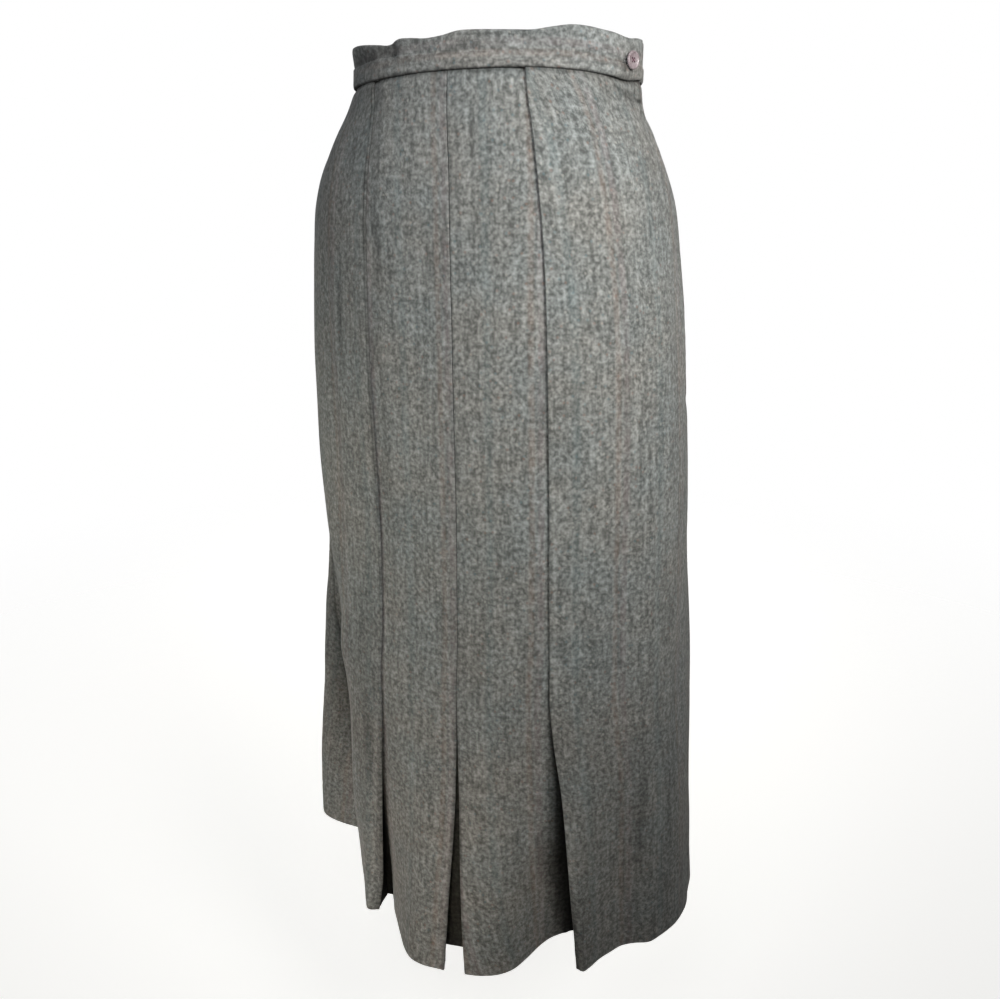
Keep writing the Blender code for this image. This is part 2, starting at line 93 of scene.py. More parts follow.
# the middle gores' faces: share across, depth out of the ring at the hem
centreRightFace = (
    (0.0, -38.5), (0.13, -31.0), (0.277, -20.8), (0.44, -6.4), (0.573, 5.6), (0.676, 12.3),
    (0.8, 14.4), (0.94, 12.6), (1.0, 12.0),
)
centreLeftFace = (
    (0.0, -56.5), (0.1, -56.5), (0.23, -52.0), (0.38, -39.5), (0.5, -22.5), (0.6, -8.0),
    (0.72, 2.0), (0.86, 7.2), (1.0, 9.0),
)

# the layers inside each pleat: share from the crease, folded layer, layer under it
pleatA = ((0.12, -24.0, -42.0), (0.30, -30.5, -41.5), (0.45, -37.4, -39.6), (1.0, -38.5, -38.5))
pleatC = ((0.12, -28.0, -57.5), (0.38, -46.0, -58.0), (0.7, -57.3, -57.5), (1.0, -57.5, -57.5))
pleatBRight = ((0.12, 3.0, -18.6), (0.38, -7.0, -17.4), (0.7, -16.4, -16.6), (1.0, -17.0, -17.0))
pleatBLeft = ((0.12, 0.0, -20.6), (0.38, -9.0, -20.2), (0.7, -18.6, -18.8), (1.0, -19.5, -19.5))
underlayMiddle = -20.4
underlayTop = 550

# the folds of the side and back gores: upper place, place at the hem, depth, where it starts
rightFolds = (
    (52, 72, -21, 0), (60, 80, -13.2, 0), (71, 93, -17.4, 0), (84, 110, -27.5, 0),
    (105, 138, -38, 520), (134, 172, -46, 420), (160, 205, -53, 400), (176, 222, -60, 400),
    (184, 234, -60, 400), (192, 245, -52, 400), (197, 252, -34, 400), (202, 257, -12, 400),
    (208, 264, 8, 400), (215, 274, 20, 400), (224, 285, 25.5, 400), (234, 298, 24, 400),
    (250, 314, 15, 400), (290, 345, -1, 400), (345, 400, 9, 300), (400, 455, -5, 300),
    (482, 549, 5, 300),
)
leftFolds = (
    (113, 160, -14, 0), (118, 166, -6.5, 0), (125, 174, -9, 0), (138, 187, -16, 0),
    (155, 205, -21.3, 580), (172, 224, -23.3, 580), (186, 238, -18, 580),
    (198, 250, -9.8, 580), (214, 265, -6.3, 580), (240, 292, 0, 580), (266, 315, 1.5, 580),
    (296, 342, 1.0, 580), (345, 395, 8, 300), (400, 450, -5, 300),
    (455, 510, 9, 300), (505, 575, -5, 300), (546, 637, 5, 300),
)

# the waist seam and the band: place round the waist, seam height, strip height, top edge
waistColumns = ("round", "seam", "strip", "top")
waistRows = (
    (-359, -3.0, 14.0, 30.0), (-300, -4.0, 15.0, 28.5), (-230, -5.5, 17.0, 28.5),
    (-180, -6.0, 18.0, 28.8), (-150, -5.5, 18.0, 29.6), (-126, -4.5, 17.5, 29.4),
    (-114, -4.0, 17.0, 28.7), (-96, -2.8, 16.5, 28.4), (-78, -1.6, 16.2, 27.4),
    (-60, -0.4, 16.0, 25.8), (-51, 0.2, 15.6, 24.9), (-46, 0.5, 15.4, 25.4),
    (-42, 0.8, 15.2, 27.0), (-37, 1.0, 15.0, 28.3), (-25, 1.8, 14.2, 28.4),
    (-10, 2.5, 13.5, 27.4), (5, 2.9, 13.2, 28.7), (20, 3.2, 13.0, 31.3), (35, 3.4, 12.8, 31.4),
    (50, 3.5, 12.4, 30.9), (65, 3.5, 12.0, 30.5), (80, 3.4, 11.6, 30.3), (95, 2.9, 11.1, 32.3),
    (110, 2.1, 10.6, 34.1), (125, 1.0, 10.5, 33.4), (140, -0.7, 10.8, 31.3),
    (150, -2.0, 11.3, 29.9), (160, -3.4, 12.0, 28.2), (166, -3.6, 12.0, 27.9),
    (173, -3.1, 11.8, 28.5), (180, -2.4, 11.5, 29.1), (192, -2.0, 11.4, 29.3),
    (215, -3.2, 12.0, 28.5), (260, -6.0, 12.0, 28.5), (310, -4.5, 13.0, 28.5),
    (359, -3.0, 14.0, 30.0),
)


def curveThrough(knots, values, x):
    # a smooth curve through the knots; values may have a row of numbers for each knot
    knots, values, x = (np.asarray(a, float) for a in (knots, values, x))
    slopes = np.gradient(values, knots, axis=0)
    i = np.clip(np.searchsorted(knots, x) - 1, 0, len(knots) - 2)
    span = knots[i + 1] - knots[i]
    t = np.clip((x - knots[i]) / span, 0, 1)
    if values.ndim > 1:
        span, t = span[:, None], t[:, None]
    rise = values[i + 1] - values[i]
    start, end = slopes[i] * span, slopes[i + 1] * span
    return (values[i] + t * start + t * t * (3 * rise - 2 * start - end)
            + t ** 3 * (start + end - 2 * rise))


def ease(t):
    t = np.clip(t, 0, 1)
    return t * t * (3 - 2 * t)


def bump(x, width):
    return np.exp(-(x / width) ** 2)


def ringOf(halfWidth, halfDepth, sideways):
    angle = np.linspace(-math.pi, math.pi, form["ringSteps"] + 1)
    across, along = np.sin(angle), -np.cos(angle)
    power = 2 / form["ringPower"]
    x = halfWidth * np.sign(across) * np.abs(across) ** power + sideways
    y = halfDepth * np.sign(along) * np.abs(along) ** power
    points = np.stack([x, y], axis=1)
    lengths = np.concatenate([[0], np.cumsum(np.linalg.norm(np.diff(points, axis=0), axis=1))])
    lengths -= lengths[form["ringSteps"] // 2]
    tangents = np.gradient(points, axis=0)
    tangents[0] = tangents[-1] = (tangents[0] + tangents[-1]) / 2
    outward = np.stack([tangents[:, 1], -tangents[:, 0]], axis=1)
    outward /= np.linalg.norm(outward, axis=1)[:, None]
    return lengths, points, outward, lengths[-1] - lengths[0]


def onRing(ring, rounds, outs):
    lengths, points, outward, whole = ring
    at = (rounds - lengths[0]) % whole + lengths[0]
    columns = [np.interp(at, lengths, c) for c in (*points.T, *outward.T)]
    size = np.hypot(columns[2], columns[3])
    return np.stack([columns[0] + columns[2] * outs / size,
                     columns[1] + columns[3] * outs / size], axis=1)


def waist(rounds, column):
    whole = waistRing[3]
    at = (np.asarray(rounds, float) + whole / 2) % whole - whole / 2
    rows = list(zip(*waistRows))
    return curveThrough(rows[0], rows[waistColumns.index(column)], at)


def atSection(section):
    return section, ringOf(section["halfWidth"], section["halfDepth"], section["sideways"])


cutSections = [atSection(section) for section in sections]
waistRing = cutSections[0][1]

# fine levels down the skirt, closer together at the band and at the rounded hem
levels = np.concatenate([
    np.arange(0, 22, 1.25), np.arange(22.5, 60, 2.5), np.arange(60, 797, 4.5),
    [798, 799.3, 799.8, 800]])
levelColumns = {
    name: curveThrough([s["down"] for s in sections], [s[name] for s in sections], levels)
    for name in sectionColumns
}
levelRings = [
    ringOf(*(levelColumns[name][k] for name in ("halfWidth", "halfDepth", "sideways")))
    for k in range(len(levels))
]
print("form worked out:", len(levels), "levels")


# Paths of the cloth at a cut section. Each is a list of places (round, out).

stations = {
    "pleat": 9, "crease": 9, "middleFace": 44, "sideFace": 84, "backFace": 96, "underlay": 26,
}


def foldDepth(section, side, places):
    rows = rightFolds if side < 0 else leftFolds
    down = section["down"]
    reach = form["length"] - form["foldTop"]
    share = min(max((down - form["foldTop"]) / reach, 0), 1)
    knots, depths = [], []
    for upper, hem, depth, starts in rows:
        knots.append(upper + (hem - upper) * share)
        grown = min(max((down - starts) / (form["length"] - starts), 0), 1) ** form["foldPower"]
        depths.append(depth * (section["open"] if starts == 0 else grown))
    return curveThrough(knots, depths, np.clip(places, knots[0], knots[-1]))


def seamPlaces(section, ring):
    middle = (section["bLeft"] + section["bRight"]) / 2
    quarter = ring[3] / 4
    return {
        "aEdge": -section["aEdge"],
        "cEdge": section["cEdge"],
        "sideRight": quarter - middle - form["seamForward"],
        "sideLeft": quarter + middle,
        "backRight": 2 * quarter - middle,
        "backLeft": 2 * quarter + middle,
    }


def creasePlaces(edge, out, side):
    # half a turn, pressed flat, whose outer face just reaches the edge
    turn = np.linspace(90, -90, stations["crease"]) * math.pi / 180
    middle = edge + side * (form["cloth"] + ply) / 2
    reach = np.abs(np.cos(turn)) ** form["press"]
    rise = np.sign(turn) * np.abs(np.sin(turn)) ** form["press"]
    return middle - side * ply / 2 * reach, out - ply / 2 + ply / 2 * rise


def pleatPlaces(section, edge, side, shares):
    return edge + side * ((form["cloth"] + ply) / 2 + shares * section["turnIn"])


def layerOuts(section, rows, column, first, lift):
    # a layer inside a pleat: from first, at the crease, through its own rows
    shares = np.linspace(0, 1, stations["pleat"])
    knots = [0, *(row[0] for row in rows)]
    outs = [first, *(section["open"] * row[column] + lift for row in rows)]
    return shares[1:], curveThrough(knots, outs, shares)[1:]


def middlePath(section, face, pleat, centrePleat, outer, inner, side):
    edge = inner - side * form["gap"] / 2
    first = pleatPlaces(section, outer, -side, 0.0)
    last = pleatPlaces(section, edge, -side, 0.0)
    shares = np.linspace(0, 1, stations["middleFace"])
    places = first + (last - first) * shares
    depths = curveThrough(*zip(*face), shares)
    sunk = 1.5 * ply * (1 - ease(np.abs(places - first) / form["ease"]))
    outs = section["open"] * depths - sunk
    underShares, underOuts = layerOuts(section, pleat, 2, outs[0], -1.5 * ply)
    under = first - side * underShares * section["turnIn"]
    turnPlaces, turnOuts = creasePlaces(edge, outs[-1], -side)
    backShares, backOuts = layerOuts(section, centrePleat, 1, outs[-1] - ply, -ply)
    back = pleatPlaces(section, edge, -side, backShares)
    return (np.concatenate([under[::-1], places, turnPlaces[1:-1], [last], back]),
            np.concatenate([underOuts[::-1], outs, turnOuts[1:-1], [outs[-1] - ply], backOuts]))


def sidePath(section, ring, side, edgeName, seamName, pleat):
    names = seamPlaces(section, ring)
    edge, end = names[edgeName], names[seamName] + form["seamLap"]
    first = pleatPlaces(section, edge, 1, 0.0)
    places = first + (end - first) * np.linspace(0, 1, stations["sideFace"])
    raised = ply / 2 * (1 - ease((places - edge) / (2 * form["ease"])))
    outs = foldDepth(section, side, places) + raised
    turnPlaces, turnOuts = creasePlaces(side * edge, outs[0], side)
    backShares, backOuts = layerOuts(section, pleat, 1, outs[0] - ply, -ply / 2)
    back = pleatPlaces(section, side * edge, side, backShares)
    return (np.concatenate([back[::-1], [side * first], turnPlaces[1:-1][::-1], side * places]),
            np.concatenate([backOuts[::-1], [outs[0] - ply], turnOuts[1:-1][::-1], outs]))


def backPath(section, ring, side, seamName, middleName):
    names = seamPlaces(section, ring)
    start, end = names[seamName] + form["gap"], names[middleName] - form["gap"] / 2
    places = np.linspace(start, end, stations["backFace"])
    return side * places, foldDepth(section, side, places)


def underlayPath(section):
    edges = section["bLeft"] - form["gap"] / 2, section["bRight"] + form["gap"] / 2
    places, outs = [], []
    for edge, side, rows in ((edges[0], -1, pleatBRight[::-1]), (edges[1], 1, pleatBLeft)):
        places += [pleatPlaces(section, edge, side, row[0]) for row in rows]
        outs += [section["open"] * row[2] - 2 * ply for row in rows]
    half = len(pleatBRight)
    places.insert(half, sum(edges) / 2)
    outs.insert(half, section["open"] * underlayMiddle - 2 * ply)
    fine = np.linspace(places[0], places[-1], stations["underlay"])
    return fine, curveThrough(places, outs, fine)


# Creases listed one by one, soft troughs (depth below 0) and ridges. round: from the front, to the
# wearer's left. down: below the waist seam. lean: degrees from upright, its top towards the
# wearer's left. The rows for the sides and the back are like those that the front shows.

creases = {
    "columns": ("round", "down", "long", "wide", "lean", "depth"),
    "front": (
        (-43, 300, 150, 5.0, 0, -0.9), (-40, 470, 90, 7.0, 1, -0.7), (-112, 250, 120, 8.0, -2, -1.5),
        (-96, 330, 170, 11.0, 1, 0.9), (-128, 120, 60, 9.0, -14, -0.9), (-88, 60, 34, 8.0, 20, -0.8),
        (148, 13, 9, 3.2, -68, -1.5), (141, 20, 12, 5.0, -60, 0.8), (171, 12, 8, 3.6, 8, -1.7),
        (163, 33, 16, 5.0, -35, -0.8), (152, 60, 40, 9.0, -20, -0.9), (178, 84, 46, 8.0, -12, 0.9),
        (20, 46, 24, 5.0, 20, -0.5), (58, 30, 26, 7.0, -14, 0.5), (4, 190, 130, 12.0, 1, -0.7),
        (70, 260, 160, 13.0, -1, 0.7), (92, 520, 120, 9.0, 1, -0.8), (60, 600, 110, 12.0, 0, 0.8),
        (-14, 560, 120, 11.0, 1, -0.8), (158, 400, 95, 8.0, 0, 1.5), (175, 430, 110, 7.0, 0, -1.3),
        (-92, 180, 55, 4.5, 2, -1.4), (-57, 190, 95, 6.0, 0, 0.9), (184, 470, 150, 12.0, -2, -1.2),
        (206, 380, 190, 12.0, -3, 1.2), (150, 400, 120, 10.0, 2, -0.7), (196, 230, 110, 14.0, -5, -1.0),
        (-98, 738, 34, 19.0, 0, -3.0), (195, 7, 9, 9.0, 0, 1.2), (184, 9, 8, 1.9, 0, -1.3),
        (196, 16.5, 2.4, 11.0, 0, -1.4), (200, 25, 3, 3.0, 0, -1.1), (180, 18.5, 9, 3.0, -51, -0.8),
    ),
    "sides": (
        (-150, 40, 30, 8.0, 18, -1.0), (-172, 95, 70, 11.0, 8, 1.2), (-185, 210, 120, 14.0, -3, -1.4),
        (-160, 330, 150, 12.0, 2, 1.1), (-205, 150, 60, 10.0, 12, -0.9), (-232, 60, 40, 9.0, -16, -1.0),
        (222, 26, 22, 6.0, 24, -1.2), (236, 90, 60, 10.0, -10, 1.0), (252, 190, 120, 13.0, 4, -1.3),
        (228, 300, 150, 14.0, -2, 1.1), (270, 420, 140, 13.0, 3, -1.2), (244, 560, 120, 12.0, -2, 1.1),
    ),
    "back": (
        (-262, 130, 90, 12.0, 6, 1.1), (-300, 45, 34, 8.0, -22, -1.1), (-318, 210, 26, 6.0, 78, -1.1),
        (-300, 246, 34, 7.0, 84, -1.3), (-344, 262, 24, 6.0, 97, -0.9), (-330, 330, 140, 14.0, -2, 1.2),
        (-280, 400, 170, 15.0, 3, -1.4), (-352, 470, 130, 13.0, 1, -1.1), (-310, 560, 120, 13.0, 0, 1.2),
        (-370, 160, 60, 10.0, -6, -0.8), (-392, 360, 150, 12.0, 0, 0.9), (-420, 600, 130, 12.0, 2, -1.1),
        (296, 50, 38, 8.0, 20, -1.1), (318, 204, 30, 7.0, 99, -1.2), (344, 238, 30, 6.0, 86, -1.2),
        (290, 270, 34, 7.0, 80, -1.0), (330, 350, 160, 14.0, 2, 1.2), (300, 470, 150, 14.0, -3, -1.3),
        (360, 540, 140, 13.0, 1, 1.0), (392, 420, 120, 12.0, -1, -1.0), (372, 130, 70, 10.0, 6, 0.8),
        (440, 640, 110, 12.0, 0, -1.2), (480, 700, 90, 12.0, 0, 1.0), (-480, 690, 100, 13.0, 0, 1.1),
    ),
    "drift": (  # broad unevenness: wave round, wave down, phase, height
        (190, 430, 0.4, 0.8), (97, 260, 2.1, 0.45), (53, 150, 4.0, 0.22), (34, 88, 1.2, 0.12),
    ),
    "driftFade": 60.0,      # it grows over this length below the band
}


def creaseOut(rounds, down):
    out = np.zeros_like(rounds)
    for group in ("front", "sides", "back"):
        out += placed(creases[group], rounds, down)
    grown = min(down / creases["driftFade"], 1)
    for around, low, phase, height in creases["drift"]:
        wave = np.sin(2 * math.pi * rounds / around + phase + 0.8 * np.sin(down / low * 4))
        out += grown * height * wave * math.cos(2 * math.pi * down / low + phase * 1.7)
    return out


# How a gore's edges are sewn: the dip at a plain seam and the slight pucker along any seam.

sewing = {
    "bandGroove": 1.5,      # how far the gores sink in under the waistband
    "bandGrooveHigh": 3.0,
    "behindBand": 0.9,      # and how far up behind it their top edge goes
    "behindBandHigh": 0.6,
    "seamDip": 0.75,        # how far a plain seam's edge rolls in
    "seamRoll": 1.3,        # over this width
    "pucker": 0.16,
    "puckerReach": 5.0,
    "puckerPitch": 13.0,
    "puckerDrift": 37.0,    # the pitch wanders over this length
    "hemDeep": 38.0,        # the turned-up hem
    "hemExtra": 1.1,        # its added thickness inside
    "hemStep": 4.0,         # its upper edge fades over this height
    "hemClear": 45.0,       # it keeps this far from a pleat's layers
    "hemDent": 0.25,        # the faint line where it is caught
    "hemDentHigh": 3.0,
    "hemRound": 0.7,        # the height of the cloth's rounded lower edge
    "hemRoundLeast": 0.06,
    "edgeTurn": 4.0,        # the cloth that goes round the lower edge, in the flat length
    "shadeOver": 2.9,       # painted shade inside a pleat: the cloth darkens over this width, to the share below of its colour
    "shadeInside": 0.03,
}

# painted shade, too, on a strip of the face beside a pleat: down, how far it reaches, strength
paintedShadeStrips = {
    "none": ((0, 1.0, 0.0), (800, 1.0, 0.0)),
    "underA": (
        (0, 5.0, 0.0), (120, 5.0, 0.0), (200, 5.0, 0.2), (520, 5.0, 0.26),
        (600, 3.0, 0.5), (690, 3.0, 0.8), (800, 3.0, 1.0)),
    "edgeA": (
        (0, 1.6, 0.62), (230, 1.8, 0.55), (420, 2.0, 0.34), (560, 2.2, 0.28),
        (640, 5.0, 0.42), (800, 6.0, 0.42)),
    "underC": (
        (0, 4.0, 0.0), (120, 4.0, 0.0), (200, 4.0, 0.18), (480, 4.0, 0.24), (525, 6.0, 0.7),
        (560, 11.0, 1.0), (585, 16.0, 1.0),
        (640, 28.0, 1.0), (690, 42.0, 1.0), (745, 24.0, 0.95), (800, 14.0, 0.9)),
    "edgeC": ((0, 3.0, 0.0), (700, 3.0, 0.0), (745, 9.0, 0.55), (800, 12.0, 0.6)),
    "edgeB": ((0, 2.0, 0.04), (500, 2.0, 0.10), (640, 2.0, 0.4), (800, 2.0, 0.2)),
}

# painted shade in deep folds and dents: round, down, long, wide, lean, strength
paintedShadeHollows = (
    (-224, 606, 132, 13.0, 5.3, 0.50), (-225, 660, 110, 6.0, 5.0, 0.35),
    (184, 9, 7, 1.8, 0, 0.70), (197, 15.5, 1.8, 11.0, 0, 0.70), (170, 10.5, 7.0, 3.0, -72, 0.60),
    (158, 7.5, 10, 3.0, -80, 0.35), (180, 18.5, 8, 2.0, -51, 0.35), (200, 25, 3, 4.0, 0, 0.70),
    (-92, 182, 55, 4.0, 2, 0.30), (192, 9.5, 8, 6.0, 0, 0.22),
    (222, 655, 60, 6.0, -6, 0.34), (-318, 215, 20, 6.0, 78, 0.18), (-300, 250, 26, 6.0, 84, 0.18),
    (318, 210, 22, 6.0, 99, 0.18), (344, 243, 22, 6.0, 86, 0.16), (262, 640, 90, 8.0, -5, 0.20),
    (-330, 700, 80, 9.0, 3, 0.18), (-69, 600, 60, 13.0, 0, 0.30), (-71, 700, 50, 12.0, 0, 0.12),
    (-72, 480, 80, 15.0, 0, 0.20),
)
seamShade = {"reach": 1.6, "strength": 0.38, "underBand": 2.6, "underBandStrength": 0.48}


def placed(rows, rounds, down):
    # how much each place has of some bumps listed one by one
    out = np.zeros(np.shape(rounds))
    for around, low, length, width, lean, strength in rows:
        turn = math.radians(lean)
        dx, dz = rounds - around, down - low
        along = dz * math.cos(turn) - dx * math.sin(turn)
        across = dz * math.sin(turn) + dx * math.cos(turn)
        out = out + strength * bump(along, length) * bump(across, width)
    return out


def stripAt(name, down):
    rows = list(zip(*paintedShadeStrips[name]))
    return (float(np.interp(down, rows[0], column)) for column in rows[1:])


def edgeOut(along, down, plain):
    # along: distance along the cloth from a seam
    drift = 0.9 * math.sin(down / sewing["puckerDrift"])
    wave = math.sin(2 * math.pi * down / sewing["puckerPitch"] + drift)
    out = sewing["pucker"] * wave * np.exp(-along / sewing["puckerReach"])
    return out - plain * sewing["seamDip"] * bump(along, sewing["seamRoll"])


def wall(points, halfIn, halfOut):
    steps = np.diff(points, axis=0)
    steps /= np.linalg.norm(steps, axis=1)[:, None]
    before, after = np.vstack([steps[:1], steps]), np.vstack([steps, steps[-1:]])
    leftBefore = np.stack([-before[:, 1], before[:, 0]], axis=1)
    leftAfter = np.stack([-after[:, 1], after[:, 0]], axis=1)
    bisector = leftBefore + leftAfter
    bisector /= np.linalg.norm(bisector, axis=1)[:, None]
    lean = np.clip((bisector * leftAfter).sum(axis=1), form["mitreLimit"], 1)[:, None]
    mitre = bisector / lean
    return points + mitre * halfIn, points - mitre * halfOut


def meshFromLoops(name, loops, uvs, material, shade=None):
    # loops: an array of outlines, one below another, each with the outer face after the inner
    count, size = loops.shape[0], loops.shape[1]
    half = size // 2
    mesh = bpy.data.meshes.new(name)
    ids = np.arange(count * size).reshape(count, size)
    nextIds = np.roll(ids, -1, axis=1)
    quads = np.stack([ids[:-1], nextIds[:-1], nextIds[1:], ids[1:]], axis=-1).reshape(-1, 4)
    across = np.arange(half - 1)
    caps = [
        np.stack([row[across], row[across + 1], row[size - 2 - across], row[size - 1 - across]], 1)
        for row in (ids[0], ids[-1])
    ]
    faces = np.concatenate([quads, caps[0][:, ::-1], caps[1]])
    mesh.from_pydata((loops.reshape(-1, 3) * mm).tolist(), [], faces.tolist())
    mesh.validate()
    corners = np.empty(len(mesh.loops), int)
    mesh.loops.foreach_get("vertex_index", corners)
    layer = mesh.uv_layers.new(name="cloth")
    layer.data.foreach_set("uv", (uvs.reshape(-1, 2)[corners] * mm).astype(np.float32).ravel())
    # the painted shade goes on each point as an attribute
    if shade is not None:
        layer = mesh.attributes.new(name="paintedShade", type="FLOAT", domain="POINT")
        layer.data.foreach_set("value", shade.astype(np.float32).ravel())
    mesh.shade_smooth()
    mesh.set_sharp_from_angle(angle=math.radians(form["sharpAngle"]))
    mesh.materials.append(material)
    made = bpy.data.objects.new(name, mesh)
    bpy.context.scene.collection.objects.link(made)
    return made


def goreHeights(rounds, down):
    share = max(1 - down / form["waistReach"], 0)
    return share * waist(rounds, "seam") - down


def sewGore(name, node, slotName, material, pathAt, face, grainAt, plainEnds, shadowEnds, bolt,
            top=0):
    # pathAt: the path at a cut section. face: the slice of it that shows. grainAt: the place of
    # the straight grain at a level. plainEnds: 1 where an end of the face is a plain seam.
    # shadowEnds: the dark strip at each end of it. bolt: which stretch of the cloth it is cut from
    used = [pair for pair in cutSections if pair[0]["down"] >= top]
    downs = [section["down"] for section, _ in used]
    paths = [pathAt(section, ring) for section, ring in used]
    mine = np.flatnonzero(levels >= top)
    rounds = curveThrough(downs, [path[0] for path in paths], levels[mine])
    outs = curveThrough(downs, [path[1] for path in paths], levels[mine])
    loops, uvs, shades, widths = [], [], [], []
    for k, level in enumerate(mine):
        down, ring = levels[level], levelRings[level]
        plain = onRing(ring, rounds[k], outs[k])
        steps = np.linalg.norm(np.diff(plain, axis=0), axis=1)
        along = np.concatenate([[0], np.cumsum(steps)])
        start, end = along[face][0], along[face][-1]
        out = outs[k] + creaseOut(rounds[k], down) - sewing["bandGroove"] * bump(
            down, sewing["bandGrooveHigh"])
        for ends, distance in zip(plainEnds, (np.abs(along - start), np.abs(end - along))):
            out += edgeOut(distance, down, ends)
        inFace = np.zeros(len(along))
        inFace[face] = 1
        overHem = down - form["length"] + sewing["hemDeep"]
        hem = inFace * ease(overHem / sewing["hemStep"])
        clear = 1
        for ends, distance in zip(plainEnds, (along - start, end - along)):
            clear = clear * (1 if ends else ease(distance / sewing["hemClear"] - 1))
        out -= sewing["hemDent"] * inFace * bump(overHem, sewing["hemDentHigh"])
        fromEdge = max(1 - (form["length"] - down) / sewing["hemRound"], 0)
        rounded = math.sqrt(max(1 - fromEdge ** 2, sewing["hemRoundLeast"]))
        half = form["cloth"] / 2 * rounded
        thicker = half + sewing["hemExtra"] * hem * clear * rounded
        forward = 1 if rounds[k][face][-1] > rounds[k][face][0] else -1
        ways = (thicker[:, None], half) if forward > 0 else (half, thicker[:, None])
        middle = onRing(ring, rounds[k], out)
        left, right = wall(middle, 1.0, 1.0)
        left, right = middle + (left - middle) * ways[0], middle + (right - middle) * ways[1]
        heights = goreHeights(rounds[k], down) + sewing["behindBand"] * bump(
            down, sewing["behindBandHigh"])
        outline = np.vstack([left, right[::-1]])
        loops.append(np.column_stack([outline, np.concatenate([heights, heights[::-1]])]))
        shown = np.argsort(rounds[k][face])
        grain = np.interp(grainAt(level), rounds[k][face][shown], along[face][shown])
        u = forward * (along - grain) + bolt * tweed["boltAcross"]
        uvs.append(np.column_stack([np.concatenate([u, u[::-1]]),
                                    np.full(2 * len(u), -down - tweed["boltDown"] * bolt)]))
        # painted shade: darker inside the pleats, in strips beside them, along plain seams, under the
        # band and in the deep folds
        depth = np.maximum(start - along, along - end)
        paintedShade = ease(depth / sewing["shadeOver"])
        for strip, distance in zip(shadowEnds, (along - start, end - along)):
            reach, strength = stripAt(strip, down)
            paintedShade = np.maximum(paintedShade, strength * (1 - ease(np.maximum(distance, 0) / reach)))
        for isPlain, distance in zip(plainEnds, (along - start, end - along)):
            line = isPlain * seamShade["strength"] * bump(distance, seamShade["reach"])
            paintedShade = np.maximum(paintedShade, line)
        underBand = seamShade["underBandStrength"] * bump(down, seamShade["underBand"])
        paintedShade = np.clip(np.maximum(paintedShade, underBand) + placed(paintedShadeHollows, rounds[k], down), 0, 1)
        shades.append(np.concatenate([paintedShade, paintedShade[::-1]]))
        widths.append(along[-1])
    piece = meshFromLoops(name, np.array(loops), np.array(uvs), material, np.array(shades))
    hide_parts(node)
    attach(piece, "root")
    widths = np.array(widths) * mm
    area = float(np.trapz(widths, levels[mine] * mm))
    length = (float(levels[mine][-1] - levels[mine][0]) + sewing["edgeTurn"]) * mm
    print(f"sewn: {name}, cut {widths.max():.3f} x {length:.3f} m, area {area:.4f} m2")
    return piece, float(widths.max()), length, area


# The cloth. UVs are in metres, u across the grain and v down it, so its pattern has a real size.

tweed = {
    "dark": (0.092, 0.095, 0.093),
    "low": (0.156, 0.161, 0.157),
    "high": (0.235, 0.242, 0.237),
    "light": (0.352, 0.361, 0.356),
    "fleckScale": 270.0,    # per metre
    "fineScale": 800.0,
    "flatten": 0.94,        # flecks are a little longer down the cloth
    "column": 0.0058,       # width of a herringbone column
    "yarn": 0.0017,         # pitch of its rows
    "streakScale": 210.0,   # long faint streaks down the cloth
    "streakLong": 0.05,
    "blotchScale": 13.0,
    "cool": (0.968, 1.004, 1.012),
    "warm": (1.032, 1.0, 0.968),
    "nepScale": 300.0,
    "nepSize": 0.34,
    "nepStrength": 0.38,
    "nepDyes": (            # channel, its limit, colour
        (0, 0.975, (0.24, 0.145, 0.115)), (1, 0.975, (0.11, 0.18, 0.20)),
        (2, 0.95, (0.42, 0.41, 0.38)),
    ),
    "stripeEvery": 0.080,
    "boltAcross": 400.0,    # mm between the stretches that two gores are cut from, and down
    "boltDown": 910.0,
    "weights": {"flecks": 0.50, "fine": 0.12, "patches": 0.16, "streaks": 0.20, "rows": 0.016},
    "places": {"dark": 0.36, "low": 0.455, "high": 0.54, "light": 0.66},
    "fuzzScale": 4200.0,
    "bumpHeight": 0.0006,
    "bumpStrength": 0.06,
    "roughness": 0.92,
    "specular": 0.18,
    "sheen": 0.22,
    "sheenRoughness": 0.55,
}
stripes = {
    "columns": ("place", "width", "colour", "strength"),
    "rows": (
        (0.0, 0.0040, (0.25, 0.150, 0.110), 0.24),
        (0.008, 0.0046, (0.27, 0.185, 0.195), 0.20),
        (0.044, 0.0055, (0.13, 0.19, 0.20), 0.20),
    ),
}


class Nodes:
    def __init__(self, material):
        self.tree = material.node_tree

    def add(self, kind, settings=None, inputs=None):
        made = self.tree.nodes.new(kind)
        for key, value in (settings or {}).items():
            setattr(made, key, value)
        for key, value in (inputs or {}).items():
            if isinstance(value, bpy.types.NodeSocket):
                self.tree.links.new(value, made.inputs[key])
            else:
                made.inputs[key].default_value = value
        return made

    def math(self, operation, *values):
        settings = {"operation": operation}
        return self.add("ShaderNodeMath", settings, dict(enumerate(values))).outputs[0]

    def mix(self, share, first, second, blend="MIX"):
        settings = {"data_type": "RGBA", "blend_type": blend}
        made = self.add("ShaderNodeMix", settings)
        for key, value in ((0, share), (6, first), (7, second)):
            if isinstance(value, bpy.types.NodeSocket):
                self.tree.links.new(value, made.inputs[key])
            else:
                made.inputs[key].default_value = (*value, 1) if isinstance(value, tuple) else value
        return made.outputs[2]


def newMaterial(name):
    material = bpy.data.materials.new(name)
    material.use_nodes = True
    nodes = Nodes(material)
    return material, nodes, material.node_tree.nodes["Principled BSDF"]


